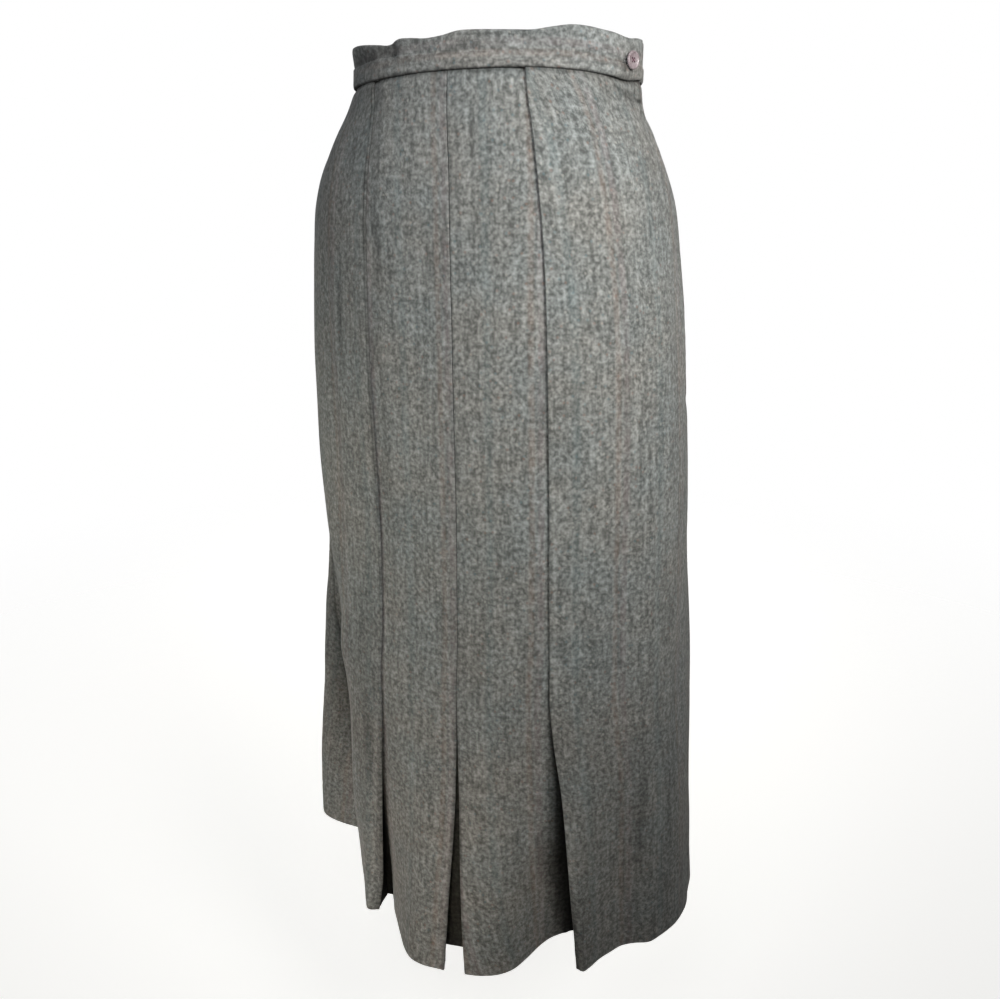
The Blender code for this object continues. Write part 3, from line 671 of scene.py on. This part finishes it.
def tweedMaterial(name, tone, stripeStrength):
    material, nodes, shader = newMaterial(name)
    uv = nodes.add("ShaderNodeUVMap", {"uv_map": "cloth"}).outputs[0]
    parts = nodes.add("ShaderNodeSeparateXYZ", None, {0: uv})
    u, v = parts.outputs[0], parts.outputs[1]
    long = nodes.add("ShaderNodeCombineXYZ", None,
                     {0: u, 1: nodes.math("MULTIPLY", v, tweed["flatten"])}).outputs[0]

    def noise(vector, scale, detail, rough):
        return nodes.add("ShaderNodeTexNoise", {"noise_dimensions": "2D"}, {
            "Vector": vector, "Scale": scale, "Detail": detail, "Roughness": rough}).outputs[0]

    flecks = noise(long, tweed["fleckScale"], 2.0, 0.6)
    fine = noise(long, tweed["fineScale"], 2.0, 0.6)
    patches = noise(long, tweed["fleckScale"] * 0.35, 1.0, 0.5)

    # herringbone: rows that climb one way in one column and the other way in the next
    zigzag = nodes.math("PINGPONG", u, tweed["column"])
    climb = nodes.math("ADD", v, zigzag)
    rows = nodes.math("SINE", nodes.math("MULTIPLY", climb, 2 * math.pi / tweed["yarn"]))

    streaked = nodes.add("ShaderNodeCombineXYZ", None,
                         {0: u, 1: nodes.math("MULTIPLY", v, tweed["streakLong"])}).outputs[0]
    streaks = noise(streaked, tweed["streakScale"], 2.0, 0.6)
    weights = tweed["weights"]
    value = nodes.math("MULTIPLY", flecks, weights["flecks"])
    for layer, weight in ((fine, "fine"), (patches, "patches"), (streaks, "streaks"), (rows, "rows")):
        value = nodes.math("MULTIPLY_ADD", layer, weights[weight], value)
    ramp = nodes.add("ShaderNodeValToRGB", None, {0: value})
    bands = ramp.color_ramp.elements
    for stop, shade in zip(bands, ("dark", "light")):
        stop.position, stop.color = tweed["places"][shade], (*tweed[shade], 1)
    for shade in ("low", "high"):
        bands.new(tweed["places"][shade]).color = (*tweed[shade], 1)
    colour = ramp.outputs[0]

    blotch = noise(uv, tweed["blotchScale"], 3.0, 0.6)
    share = nodes.add("ShaderNodeMapRange", {"clamp": True}, {
        0: blotch, 1: 0.35, 2: 0.65, 3: 0.0, 4: 1.0}).outputs[0]
    colour = nodes.mix(1.0, colour, nodes.mix(share, tweed["cool"], tweed["warm"]), "MULTIPLY")

    # single coloured flecks spun into the yarn
    cells = nodes.add("ShaderNodeTexVoronoi", {"voronoi_dimensions": "2D"}, {
        "Vector": long, "Scale": tweed["nepScale"]})
    near = nodes.math("LESS_THAN", cells.outputs["Distance"], tweed["nepSize"])
    picks = nodes.add("ShaderNodeSeparateColor", None, {0: cells.outputs["Color"]})
    for channel, limit, dye in tweed["nepDyes"]:
        picked = nodes.math("GREATER_THAN", picks.outputs[channel], limit)
        amount = nodes.math("MULTIPLY", nodes.math("MULTIPLY", near, picked),
                            tweed["nepStrength"])
        colour = nodes.mix(amount, colour, dye)

    # woven stripes, broken up as the mottled yarn breaks them
    broken = nodes.add("ShaderNodeMapRange", {"clamp": True}, {
        0: noise(uv, 60.0, 3.0, 0.7), 1: 0.30, 2: 0.62, 3: 0.15, 4: 1.0}).outputs[0]
    for place, width, dye, strength in stripes["rows"]:
        shifted = nodes.math("SUBTRACT", u, place)
        offset = nodes.math("PINGPONG", shifted, tweed["stripeEvery"] / 2)
        line = nodes.add("ShaderNodeMapRange", {"interpolation_type": "SMOOTHSTEP"}, {
            0: offset, 1: width, 2: width * 0.25, 3: 0.0, 4: strength * stripeStrength}).outputs[0]
        colour = nodes.mix(nodes.math("MULTIPLY", line, broken), colour, dye)

    # painted shade from the mesh darkens the colour
    inside = nodes.add("ShaderNodeAttribute", {"attribute_name": "paintedShade"}).outputs["Fac"]
    darker = tuple(c * sewing["shadeInside"] for c in tone)
    colour = nodes.mix(1.0, colour, nodes.mix(inside, tone, darker), "MULTIPLY")
    height = nodes.math("MULTIPLY_ADD", rows, 0.10, nodes.math("MULTIPLY", fine, 0.9))
    height = nodes.math("MULTIPLY_ADD", flecks, 0.5, height)
    fuzz = noise(uv, tweed["fuzzScale"], 1.0, 0.5)
    height = nodes.math("MULTIPLY_ADD", fuzz, 0.35, height)
    relief = nodes.add("ShaderNodeBump", None, {
        "Strength": tweed["bumpStrength"], "Distance": tweed["bumpHeight"], "Height": height})
    links = material.node_tree.links
    links.new(colour, shader.inputs["Base Color"])
    links.new(relief.outputs[0], shader.inputs["Normal"])
    shader.inputs["Roughness"].default_value = tweed["roughness"]
    shader.inputs["Specular IOR Level"].default_value = tweed["specular"]
    # and takes the sheen away where shade is painted
    sheen = nodes.math("MULTIPLY_ADD", inside, -tweed["sheen"], tweed["sheen"])
    links.new(sheen, shader.inputs["Sheen Weight"])
    shader.inputs["Sheen Roughness"].default_value = tweed["sheenRoughness"]
    return material


tweedCloth = tweedMaterial("greyTweed", (1.0, 1.0, 1.0), 1.0)
# the underlay is the same cloth; its dark tone is painted shade, for where it lies deep in pleat B
shadedUnderlayCloth = tweedMaterial("greyTweedUnderlayShaded", (0.15, 0.145, 0.125), 0.6)
bandCloth = tweedMaterial("greyTweedBand", (1.03, 1.02, 1.02), 0.75)
print("cloth dyed")


# The gores, each with its solid, its path, the slice of the path that shows, where its grain lies,
# which ends are plain seams and the shaded strip at each end. The patterns below say how far the
# rust stripe lies from a gore's own edge.

gorePatterns = {
    "centreRight": -12.0,   # from the centre front
    "centreLeft": 67.0,     # from the centre front
    "underlay": -30.0,      # from pleat B
    "side": (               # down, distance from the pleat's edge
        (0, 35.0), (20, 43.0), (40, 48.0), (70, 51.0), (100, 52.5), (140, 55.0), (180, 58.0),
        (220, 59.0), (400, 59.0), (800, 61.0)),
    "back": 32.0,           # from the centre back
    "backShift": 25.0,
}
pleatCount = stations["pleat"] - 1
turnCount = stations["crease"] - 2
middleFace = slice(pleatCount, pleatCount + stations["middleFace"])
sideFace = slice(pleatCount + 1 + turnCount, pleatCount + 1 + turnCount + stations["sideFace"])
backFace = slice(0, stations["backFace"])
sideGrain = curveThrough(*zip(*gorePatterns["side"]), levels)

gores = {
    "frontCentreRight": (
        "front_centre_right",
        lambda s, r: middlePath(s, centreRightFace, pleatA, pleatBRight, s["aEdge"], s["bLeft"], 1),
        middleFace, lambda k: levelColumns["bLeft"][k] + gorePatterns["centreRight"],
        (0, 0), ("underA", "edgeB")),
    "frontCentreLeft": (
        "front_centre_left",
        lambda s, r: middlePath(s, centreLeftFace, pleatC, pleatBLeft, s["cEdge"], s["bRight"], -1),
        middleFace, lambda k: levelColumns["bRight"][k] + gorePatterns["centreLeft"],
        (0, 0), ("underC", "edgeB")),
    "frontSideRight": (
        "front_side_right",
        lambda s, r: sidePath(s, r, -1, "aEdge", "sideRight", pleatA),
        sideFace, lambda k: levelColumns["aEdge"][k] - sideGrain[k], (0, 1),
        ("edgeA", "none")),
    "frontSideLeft": (
        "front_side_left",
        lambda s, r: sidePath(s, r, 1, "cEdge", "sideLeft", pleatC),
        sideFace, lambda k: levelColumns["cEdge"][k] + sideGrain[k], (0, 1),
        ("edgeC", "none")),
    "backRight": (
        "back_right", lambda s, r: backPath(s, r, -1, "sideRight", "backRight"),
        backFace, lambda k: -levelRings[k][3] / 2 + gorePatterns["back"] + gorePatterns["backShift"],
        (1, 1), ("none", "none")),
    "backLeft": (
        "back_left", lambda s, r: backPath(s, r, 1, "sideLeft", "backLeft"),
        backFace, lambda k: levelRings[k][3] / 2 - gorePatterns["back"] + gorePatterns["backShift"],
        (1, 1), ("none", "none")),
}
for bolt, (name, (node, *cut)) in enumerate(gores.items()):
    piece, width, length, area = sewGore(name, node, "grey_tweed", tweedCloth, *cut, bolt)

piece, width, length, area = sewGore(
    "pleatUnderlay", "pleat_underlay", "grey_tweed_underlay", shadedUnderlayCloth,
    lambda s, r: underlayPath(s),
    slice(0, stations["underlay"]),
    lambda k: levelColumns["bLeft"][k] + gorePatterns["underlay"],
    (1, 1), ("none", "none"), len(gores), underlayTop)


# The waistband: double cloth, cut across the grain, its lower strip thicker.

band = {
    "inside": 1.1,          # from the middle line to the inner face
    "strip": 2.0,           # to the strip's outer face
    "end": 192.0,           # the outer end's place round the waist
    "overlap": 44.0,
    "parting": 16.0,
    "stations": 560,
    "stripeAt": 11.0,       # the height of the rust stripe above the seam
    "dents": (              # round, up, long, high, depth
        (-90, 17, 34, 6.0, -3.4), (-90, 30, 34, 5.0, 1.6), (-55, 19, 8, 6.0, -2.2),
        (-43, 19, 4.2, 6.0, -3.4), (-30, 24, 12, 8.0, 1.0),
        (8, 24, 22, 6.0, -0.8), (40, 26, 18, 6.0, 0.7), (74, 22, 20, 5.0, -0.9),
        (104, 28, 22, 7.0, 1.3), (140, 25, 18, 6.0, -0.8), (-165, 24, 20, 7.0, 1.2),
        (-210, 22, 26, 6.0, -1.6), (-262, 25, 24, 6.0, 1.1), (-300, 21, 22, 5.0, -1.4),
        (-345, 24, 20, 6.0, 0.8), (238, 22, 20, 6.0, -1.5), (276, 26, 20, 6.0, 1.1),
        (318, 21, 24, 5.0, -1.3),
    ),
    "dentsStart": (70.0, 60.0),     # no dents this near the inner and the outer end
    "dentsFade": 30.0,
    "ripple": 0.28,         # the small unevenness of the pressed edge
    "rippleLong": 7.3,
    "rippleDrift": 31.0,
    "rippleHigh": 4.0,
    "paintedShadeHollows": (            # painted shade in its dents and the button's shadow: round, up, high, long, lean, strength
        (-45, 18, 5.5, 5.0, 90, 0.42), (-78, 19, 6.5, 27.0, 0, 0.40), (-104, 2, 7.0, 7.0, 0, 0.24),
        (-100, 22, 5.0, 9.0, 0, 0.18), (158, 8.5, 4.5, 3.6, 0, 0.60), (164, 3.4, 2.2, 5.0, 0, 0.35),
        (-8, 23, 4.0, 12.0, 0, 0.14), (74, 24, 4.0, 16.0, 0, 0.12), (-230, 20, 5.0, 14.0, 0, 0.2),
        (-300, 21, 5.0, 16.0, 0, 0.16), (250, 20, 5.0, 15.0, 0, 0.16), (320, 19, 4.0, 12.0, 0, 0.16),
    ),
    "edgeShade": 1.5,       # painted shade along the lower edge, turned under, over this height
    "edgeShadeStrength": 0.50,
    "flatHigh": 0.036,      # metres, at its highest, and on average
    "meanHigh": 0.0325,
}


def bandPath():
    whole = waistRing[3]
    start = band["end"] - whole - band["overlap"]
    apart = (band["inside"] + band["strip"] + form["gap"]) / 2
    places = np.linspace(start, band["end"], band["stations"])
    inwards = 1 - (places - start - band["overlap"]) / band["parting"]
    outwards = 1 - (band["end"] - band["overlap"] - places) / band["parting"]
    return places, apart * (ease(outwards) - ease(inwards)), start


places, parting, start = bandPath()
seamUp, stripUp, topUp = (waist(places, column) for column in ("seam", "strip", "top"))
profile = (  # measured from, height above it, then the outer and the inner face as shares
    ("bottom", 0.0, 0.12, 0.25), ("bottom", 0.35, 0.50, 0.7), ("bottom", 1.0, 0.80, 1.0),
    ("bottom", 2.0, 0.96, 1.0), ("bottom", 3.6, 1.02, 1.0), ("strip", -5.0, 1.03, 1.0),
    ("strip", -2.4, 1.04, 1.0), ("strip", -0.9, 1.0, 1.0), ("strip", -0.2, 0.80, 1.0),
    ("strip", 0.3, 0.42, 1.0), ("strip", 0.9, 0.36, 1.0), ("strip", 1.8, 0.48, 1.0),
    ("strip", 3.4, 0.52, 1.0),
    ("top", -9.0, 0.54, 1.0), ("top", -6.5, 0.55, 1.0), ("top", -4.5, 0.55, 1.0),
    ("top", -2.8, 0.54, 1.0), ("top", -1.4, 0.50, 0.95), ("top", -0.6, 0.42, 0.8),
    ("top", -0.15, 0.26, 0.5), ("top", 0.0, 0.10, 0.2),
)
whole = waistRing[3]
ripple = np.sin(places / band["rippleLong"] + 1.3 * np.sin(places / band["rippleDrift"]))
clearEnds = ease((places - start - band["dentsStart"][0]) / band["dentsFade"]) * ease(
    (band["end"] - places - band["dentsStart"][1]) / band["dentsFade"])
loops, uvs, shades = [], [], []
for base, offset, outer, inner in profile:
    ups = {"bottom": seamUp + form["gap"], "strip": seamUp + stripUp, "top": topUp}[base] + offset
    rise = ups - seamUp
    dented = np.zeros(len(places))
    for around, up, length, high, depth in band["dents"]:
        apartBy = (places - around + whole / 2) % whole - whole / 2
        dented += depth * bump(apartBy, length) * bump(rise - up, high)
    dented += band["ripple"] * ripple * bump(rise - stripUp, band["rippleHigh"])
    middle = onRing(waistRing, places, parting + dented * clearEnds)
    left, right = wall(middle, 1.0, 1.0)
    left = middle + (left - middle) * band["inside"] * inner
    right = middle + (right - middle) * band["strip"] * outer
    heights = np.concatenate([ups, ups[::-1]])
    loops.append(np.column_stack([np.vstack([left, right[::-1]]), heights]))
    across = np.concatenate([rise, rise[::-1]]) - band["stripeAt"]
    uvs.append(np.column_stack([across, np.concatenate([places, places[::-1]])]))
    # painted shade on the band: in its dents, the button's shadow and along its lower edge
    dark = placed(band["paintedShadeHollows"], places, rise) + band["edgeShadeStrength"] * bump(
        rise, band["edgeShade"])
    shades.append(np.clip(np.concatenate([dark, dark[::-1]]), 0, 1))
waistband = meshFromLoops("waistband.cloth", np.array(loops)[::-1], np.array(uvs)[::-1], bandCloth,
                          np.array(shades)[::-1])
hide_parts("waistband")
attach(waistband, "root")


# The button, its thread, and the buttonhole it comes through.

button = {
    "round": 165.5,
    "up": 11.5,
    "tilt": 9.0,            # degrees towards the front
    "lift": 1.0,
    "radius": 7.0,
    "thick": 2.8,
    "sides": 64,
    "holeRadius": 0.8,
    "holeSpacing": 2.7,
    "faceHigh": 0.70,       # the face inside the rim, as a share of the thickness
    "strand": 0.21,         # the thread's radius, and the shank's
    "shank": 0.6,
    "profile": (            # across, up, as shares of the radius and the thickness
        (0.0, 0.0), (0.78, 0.0), (0.90, 0.10), (0.97, 0.28), (1.0, 0.52), (0.985, 0.74),
        (0.945, 0.91), (0.89, 0.99), (0.835, 1.0), (0.785, 0.95), (0.74, 0.85), (0.68, 0.755),
        (0.60, 0.71), (0.0, 0.70),
    ),
}


def turned(name, profile, sides):
    shape = bmesh.new()
    ends = [shape.verts.new((0, 0, profile[k][1] * mm)) for k in (0, -1)]
    rings = []
    for radius, height in profile[1:-1]:
        turns = [2 * math.pi * i / sides for i in range(sides)]
        rings.append([shape.verts.new((radius * mm * math.cos(a), radius * mm * math.sin(a),
                                       height * mm)) for a in turns])
    for i in range(sides):
        j = (i + 1) % sides
        shape.faces.new((ends[0], rings[0][j], rings[0][i]))
        shape.faces.new((ends[1], rings[-1][i], rings[-1][j]))
        for lower, upper in zip(rings, rings[1:]):
            shape.faces.new((lower[i], lower[j], upper[j], upper[i]))
    bmesh.ops.recalc_face_normals(shape, faces=shape.faces)
    mesh = bpy.data.meshes.new(name)
    shape.to_mesh(mesh)
    shape.free()
    made = bpy.data.objects.new(name, mesh)
    bpy.context.scene.collection.objects.link(made)
    return made


def applyModifiers(piece):
    bpy.context.view_layer.update()
    evaluated = piece.evaluated_get(bpy.context.evaluated_depsgraph_get())
    mesh = bpy.data.meshes.new_from_object(evaluated)
    piece.modifiers.clear()
    piece.data = mesh


def thread(name, route, radius, sides, material):
    # a closed tube along a short route of points, in metres
    shape = bmesh.new()
    rings = []
    for k, point in enumerate(route):
        ahead = Vector(route[min(k + 1, len(route) - 1)]) - Vector(route[max(k - 1, 0)])
        turn = ahead.to_track_quat("Z", "Y")
        thin = radius * (0.45 if k in (0, len(route) - 1) else 1.0)
        rings.append([shape.verts.new(Vector(point) + turn @ Vector((
            thin * math.cos(2 * math.pi * i / sides), thin * math.sin(2 * math.pi * i / sides), 0)))
            for i in range(sides)])
    for lower, upper in zip(rings, rings[1:]):
        for i in range(sides):
            j = (i + 1) % sides
            shape.faces.new((lower[i], lower[j], upper[j], upper[i]))
    shape.faces.new(rings[0][::-1])
    shape.faces.new(rings[-1])
    mesh = bpy.data.meshes.new(name)
    shape.to_mesh(mesh)
    shape.free()
    mesh.shade_smooth()
    mesh.materials.append(material)
    return mesh


def joined(name, meshes):
    shape = bmesh.new()
    for mesh in meshes:
        shape.from_mesh(mesh)
    whole = bpy.data.meshes.new(name)
    shape.to_mesh(whole)
    shape.free()
    whole.materials.append(meshes[0].materials[0])
    whole.shade_smooth()
    made = bpy.data.objects.new(name, whole)
    bpy.context.scene.collection.objects.link(made)
    for mesh in meshes:
        bpy.data.meshes.remove(mesh)
    return made


def hornMaterial():
    material, nodes, shader = newMaterial("mauveHorn")
    place = nodes.add("ShaderNodeTexCoord").outputs["Object"]
    swirl = nodes.add("ShaderNodeTexNoise", None, {
        "Vector": place, "Scale": 240.0, "Detail": 3.0, "Distortion": 1.6}).outputs[0]
    ramp = nodes.add("ShaderNodeValToRGB", None, {0: swirl})
    bands = ramp.color_ramp.elements
    bands[0].position, bands[0].color = 0.3, (0.20, 0.148, 0.163, 1)
    bands[1].position, bands[1].color = 0.7, (0.39, 0.335, 0.352, 1)
    links = material.node_tree.links
    links.new(ramp.outputs[0], shader.inputs["Base Color"])
    grain = nodes.add("ShaderNodeTexNoise", None, {
        "Vector": place, "Scale": 2600.0, "Detail": 2.0}).outputs[0]
    relief = nodes.add("ShaderNodeBump", None, {
        "Strength": 0.12, "Distance": 0.0001, "Height": grain})
    links.new(relief.outputs[0], shader.inputs["Normal"])
    shader.inputs["Roughness"].default_value = 0.34
    shader.inputs["Coat Weight"].default_value = 0.25
    shader.inputs["Coat Roughness"].default_value = 0.2
    return material


def threadMaterial(name, colour):
    material, nodes, shader = newMaterial(name)
    place = nodes.add("ShaderNodeTexCoord").outputs["Object"]
    twist = nodes.add("ShaderNodeTexNoise", None, {
        "Vector": place, "Scale": 3000.0, "Detail": 2.0}).outputs[0]
    shade = nodes.mix(twist, tuple(0.6 * c for c in colour), tuple(1.35 * c for c in colour))
    links = material.node_tree.links
    links.new(shade, shader.inputs["Base Color"])
    relief = nodes.add("ShaderNodeBump", None, {
        "Strength": 0.5, "Distance": 0.0002, "Height": twist})
    links.new(relief.outputs[0], shader.inputs["Normal"])
    shader.inputs["Roughness"].default_value = 0.7
    shader.inputs["Sheen Weight"].default_value = 0.2
    return material


horn = hornMaterial()
greyThread = threadMaterial("greyThread", (0.13, 0.13, 0.13))
plumThread = threadMaterial("plumThread", (0.16, 0.065, 0.095))

apart = (band["inside"] + band["strip"] + form["gap"]) / 2
seatOut = apart + band["strip"] + form["gap"] + button["lift"]
seatPoints = onRing(waistRing, np.array([button["round"]] * 2), np.array([seatOut, seatOut + 1]))
outward = math.atan2(*(seatPoints[1] - seatPoints[0])[::-1])
facing = outward - math.radians(button["tilt"])
seat = Matrix.Translation((*(seatPoints[0] * mm), button["up"] * mm)) @ Matrix.Rotation(
    facing, 4, "Z") @ Matrix.Rotation(math.radians(90), 4, "Y")

profilePoints = [(button["radius"] * a, button["thick"] * b) for a, b in button["profile"]]
buttonPiece = turned("button.horn", profilePoints, button["sides"])
half = button["holeSpacing"] / 2
holes = [(half, half), (-half, half), (-half, -half), (half, -half)]
cutters = []
for number, (x, y) in enumerate(holes):
    drill = [(0, -1), (button["holeRadius"], -1), (button["holeRadius"], button["thick"] + 1),
             (0, button["thick"] + 1)]
    cutter = turned(f"drill{number}", drill, 20)
    cutter.location = (x * mm, y * mm, 0)
    cut = buttonPiece.modifiers.new(f"hole{number}", "BOOLEAN")
    cut.operation, cut.object, cut.solver = "DIFFERENCE", cutter, "EXACT"
    cutters.append(cutter)
applyModifiers(buttonPiece)
for cutter in cutters:
    bpy.data.objects.remove(cutter)
buttonPiece.data.materials.clear()
buttonPiece.data.materials.append(horn)
buttonPiece.data.shade_smooth()
buttonPiece.data.set_sharp_from_angle(angle=math.radians(38))
buttonPiece.data.transform(seat)
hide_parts("button")
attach(buttonPiece, "root")


def seated(x, y, z):
    return seat @ Vector((x * mm, y * mm, z * mm))


strands = []
top = button["thick"] * button["faceHigh"]
for across, strandOffset in ((0, -0.22), (0, 0.22), (1, -0.22), (1, 0.22)):
    (x0, y0), (x1, y1) = holes[across], holes[across + 2]
    route = []
    for t in np.linspace(0, 1, 13):
        lift = top - 1.3 + 1.75 * math.sin(math.pi * t) ** 0.35 + 0.18 * across
        x, y = x0 + (x1 - x0) * t, y0 + (y1 - y0) * t
        side = strandOffset if across else -strandOffset
        route.append(seated(x + side, y - strandOffset, lift))
    strands.append(thread("strand", route, button["strand"] * mm, 8, plumThread))
shank = [seated(0.5 * math.cos(a * 1.7), 0.5 * math.sin(a * 1.7), z)
         for a, z in zip(range(12), np.linspace(0.3, -button["lift"] - 0.9, 12))]
strands.append(thread("shank", shank, button["shank"] * mm, 8, plumThread))
buttonThread = joined("buttonThread", strands)
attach(buttonThread, "root")


# The buttonhole: a slit whose edges are covered in close upright stitches.

buttonhole = {
    "from": 159.0,          # its place round the band
    "to": 168.0,
    "halfHigh": 0.55,
    "stitch": 1.5,          # height of a stitch
    "pitch": 0.62,
    "proud": 0.32,          # how far a stitch stands up, and one of the bar's
    "barProud": 0.4,
    "barStitches": 9,
    "barPitch": 0.5,
    "barLong": 1.3,
    "thread": 0.30,         # radius
}


def bandFacePoint(around, up, proud):
    # a point on the outer face of the band's outer end
    stripEdge = float(waist(around, "seam") + waist(around, "strip"))
    level = 0.54 if up > stripEdge + 1 else 1.03 if up < stripEdge - 1 else 0.8
    out = apart + band["strip"] * level + proud
    x, y = onRing(waistRing, np.array([around]), np.array([out]))[0]
    return Vector((x * mm, y * mm, up * mm))


def arch(t):
    return math.sin(math.pi * t) ** 0.6


stitches = []
count = int((buttonhole["to"] - buttonhole["from"]) / buttonhole["pitch"])
for k in range(count + 1):
    around = buttonhole["from"] + k * buttonhole["pitch"]
    for way in (-1, 1):
        low = button["up"] + way * buttonhole["halfHigh"]
        high = low + way * buttonhole["stitch"]
        route = [bandFacePoint(around, low + (high - low) * t, buttonhole["proud"] * arch(t))
                 for t in (0, 0.2, 0.5, 0.8, 1)]
        stitches.append(thread("stitch", route, buttonhole["thread"] * mm, 6, greyThread))
for k in range(buttonhole["barStitches"]):  # the bar that closes the end nearest the front
    up = button["up"] + (k - buttonhole["barStitches"] // 2) * buttonhole["barPitch"]
    barStart, barLong = buttonhole["from"] - buttonhole["barLong"], buttonhole["barLong"]
    route = [bandFacePoint(barStart + barLong * t, up, buttonhole["barProud"] * arch(t))
             for t in (0, 0.25, 0.5, 0.75, 1)]
    stitches.append(thread("stitch", route, buttonhole["thread"] * mm, 6, greyThread))
buttonholeStitches = joined("buttonholeStitches", stitches)
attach(buttonholeStitches, "root")
print("button and buttonhole sewn")


# The studio: a pale floor below the hem, a large soft light from above on the right, weaker
# ones from the other sides, and the camera at the photograph's angle.

studio = {
    "floorBelow": 0.22,     # under the hem
    "floorRadius": 7.0,
    "floorColour": (0.86, 0.86, 0.85),
    "floorGlow": 0.74,      # evens out the floor as the camera sees it; it lights nothing
    "worldColour": (1.0, 1.0, 1.0),
    "worldLight": 0.018,
    "lights": (             # name, place, aim, size, spread in degrees, watts, colour
        ("right", (0.95, -0.5, 0.24), (0.1, 0.0, -0.05), 0.5, 80, 2.62, (1.0, 0.985, 0.943)),
        ("front", (0.3, -0.85, 0.35), (0.0, 0.0, -0.05), 0.5, 90, 1.03, (0.93, 0.968, 1.0)),
        ("left", (-0.8, -0.6, -0.2), (-0.12, 0.0, -0.35), 0.4, 45, 0.10, (1.0, 0.96, 0.87)),
        ("lowLeft", (-0.6, -1.0, -0.2), (-0.1, -0.08, -0.37), 0.3, 24, 0.08, (1.0, 0.95, 0.80)),
        ("low", (-0.65, -1.0, -0.8), (-0.08, -0.1, -0.74), 0.5, 45, 0.24, (1.0, 0.96, 0.88)),
        ("across", (0.45, -1.2, -0.5), (-0.07, -0.14, -0.72), 0.3, 22, 0.12, (1.0, 0.87, 0.72)),
        ("middle", (0.6, -0.9, 0.0), (0.08, -0.1, -0.3), 0.4, 45, 0.085, (1.0, 0.98, 0.82)),
        ("rear", (-0.97, 1.75, 0.6), (0.0, 0.0, -0.3), 1.4, 180, 26.0, (1.0, 0.98, 0.95)),
    ),
    "cameraPlace": (0.4585, -0.8207, -0.0741),
    "cameraForward": (-0.4612, 0.8314, -0.3100),
    "lens": 36.0,
    "sensor": 36.0,
}


def buildFloor():
    material, nodes, shader = newMaterial("paleFloor")
    shape = bmesh.new()
    bmesh.ops.create_circle(shape, cap_ends=True, radius=studio["floorRadius"], segments=96)
    mesh = bpy.data.meshes.new("floor")
    shape.to_mesh(mesh)
    shape.free()
    floor = bpy.data.objects.new("floor", mesh)
    floor.location.z = -form["length"] * mm - studio["floorBelow"]
    bpy.context.scene.collection.objects.link(floor)
    mesh.materials.append(material)
    shader.inputs["Base Color"].default_value = (*studio["floorColour"], 1)
    shader.inputs["Roughness"].default_value = 0.9
    # the floor fades out towards its rim, so that no edge shows
    place = nodes.add("ShaderNodeTexCoord").outputs["Object"]
    far = nodes.add("ShaderNodeVectorMath", {"operation": "LENGTH"}, {0: place}).outputs["Value"]
    share = nodes.add("ShaderNodeMapRange", {"interpolation_type": "SMOOTHSTEP"}, {
        0: far, 1: 0.45, 2: 2.2, 3: 0.0, 4: 1.0}).outputs[0]
    seen = nodes.add("ShaderNodeLightPath").outputs["Is Camera Ray"]
    glow = nodes.add("ShaderNodeEmission", None, {
        0: (*studio["floorColour"], 1), 1: nodes.math("MULTIPLY", seen, studio["floorGlow"])})
    lit = nodes.add("ShaderNodeAddShader", None, {0: shader.outputs[0], 1: glow.outputs[0]})
    clear = nodes.add("ShaderNodeBsdfTransparent").outputs[0]
    blend = nodes.add("ShaderNodeMixShader", None, {0: share, 1: lit.outputs[0], 2: clear})
    output = material.node_tree.nodes["Material Output"]
    material.node_tree.links.new(blend.outputs[0], output.inputs["Surface"])


def buildWorld():
    world = bpy.data.worlds.new("studio")
    bpy.context.scene.world = world
    world.use_nodes = True
    tree = world.node_tree
    light = tree.nodes["Background"]
    light.inputs[0].default_value = (*studio["worldColour"], 1)
    light.inputs[1].default_value = studio["worldLight"]
    seen = tree.nodes.new("ShaderNodeBackground")
    seen.inputs[0].default_value = (*studio["worldColour"], 1)
    path = tree.nodes.new("ShaderNodeLightPath")
    blend = tree.nodes.new("ShaderNodeMixShader")
    tree.links.new(path.outputs["Is Camera Ray"], blend.inputs[0])
    tree.links.new(light.outputs[0], blend.inputs[1])
    tree.links.new(seen.outputs[0], blend.inputs[2])
    tree.links.new(blend.outputs[0], tree.nodes["World Output"].inputs[0])


def buildLights():
    for name, place, aim, size, spread, watts, colour in studio["lights"]:
        lamp = bpy.data.lights.new(name, "AREA")
        lamp.shape, lamp.size, lamp.energy, lamp.color = "DISK", size, watts, colour
        lamp.spread = math.radians(spread)
        made = bpy.data.objects.new(name, lamp)
        made.location = place
        made.rotation_euler = (Vector(aim) - Vector(place)).to_track_quat("-Z", "Y").to_euler()
        bpy.context.scene.collection.objects.link(made)


def buildCamera():
    lens = bpy.data.cameras.new("camera")
    lens.lens, lens.sensor_width, lens.sensor_fit = studio["lens"], studio["sensor"], "HORIZONTAL"
    lens.clip_start, lens.clip_end = 0.05, 50.0
    camera = bpy.data.objects.new("camera", lens)
    camera.location = studio["cameraPlace"]
    camera.rotation_euler = Vector(studio["cameraForward"]).to_track_quat("-Z", "Y").to_euler()
    bpy.context.scene.collection.objects.link(camera)
    bpy.context.scene.camera = camera


buildFloor()
buildWorld()
buildLights()
buildCamera()
bpy.context.scene.view_settings.view_transform = "Standard"
print("studio set up")
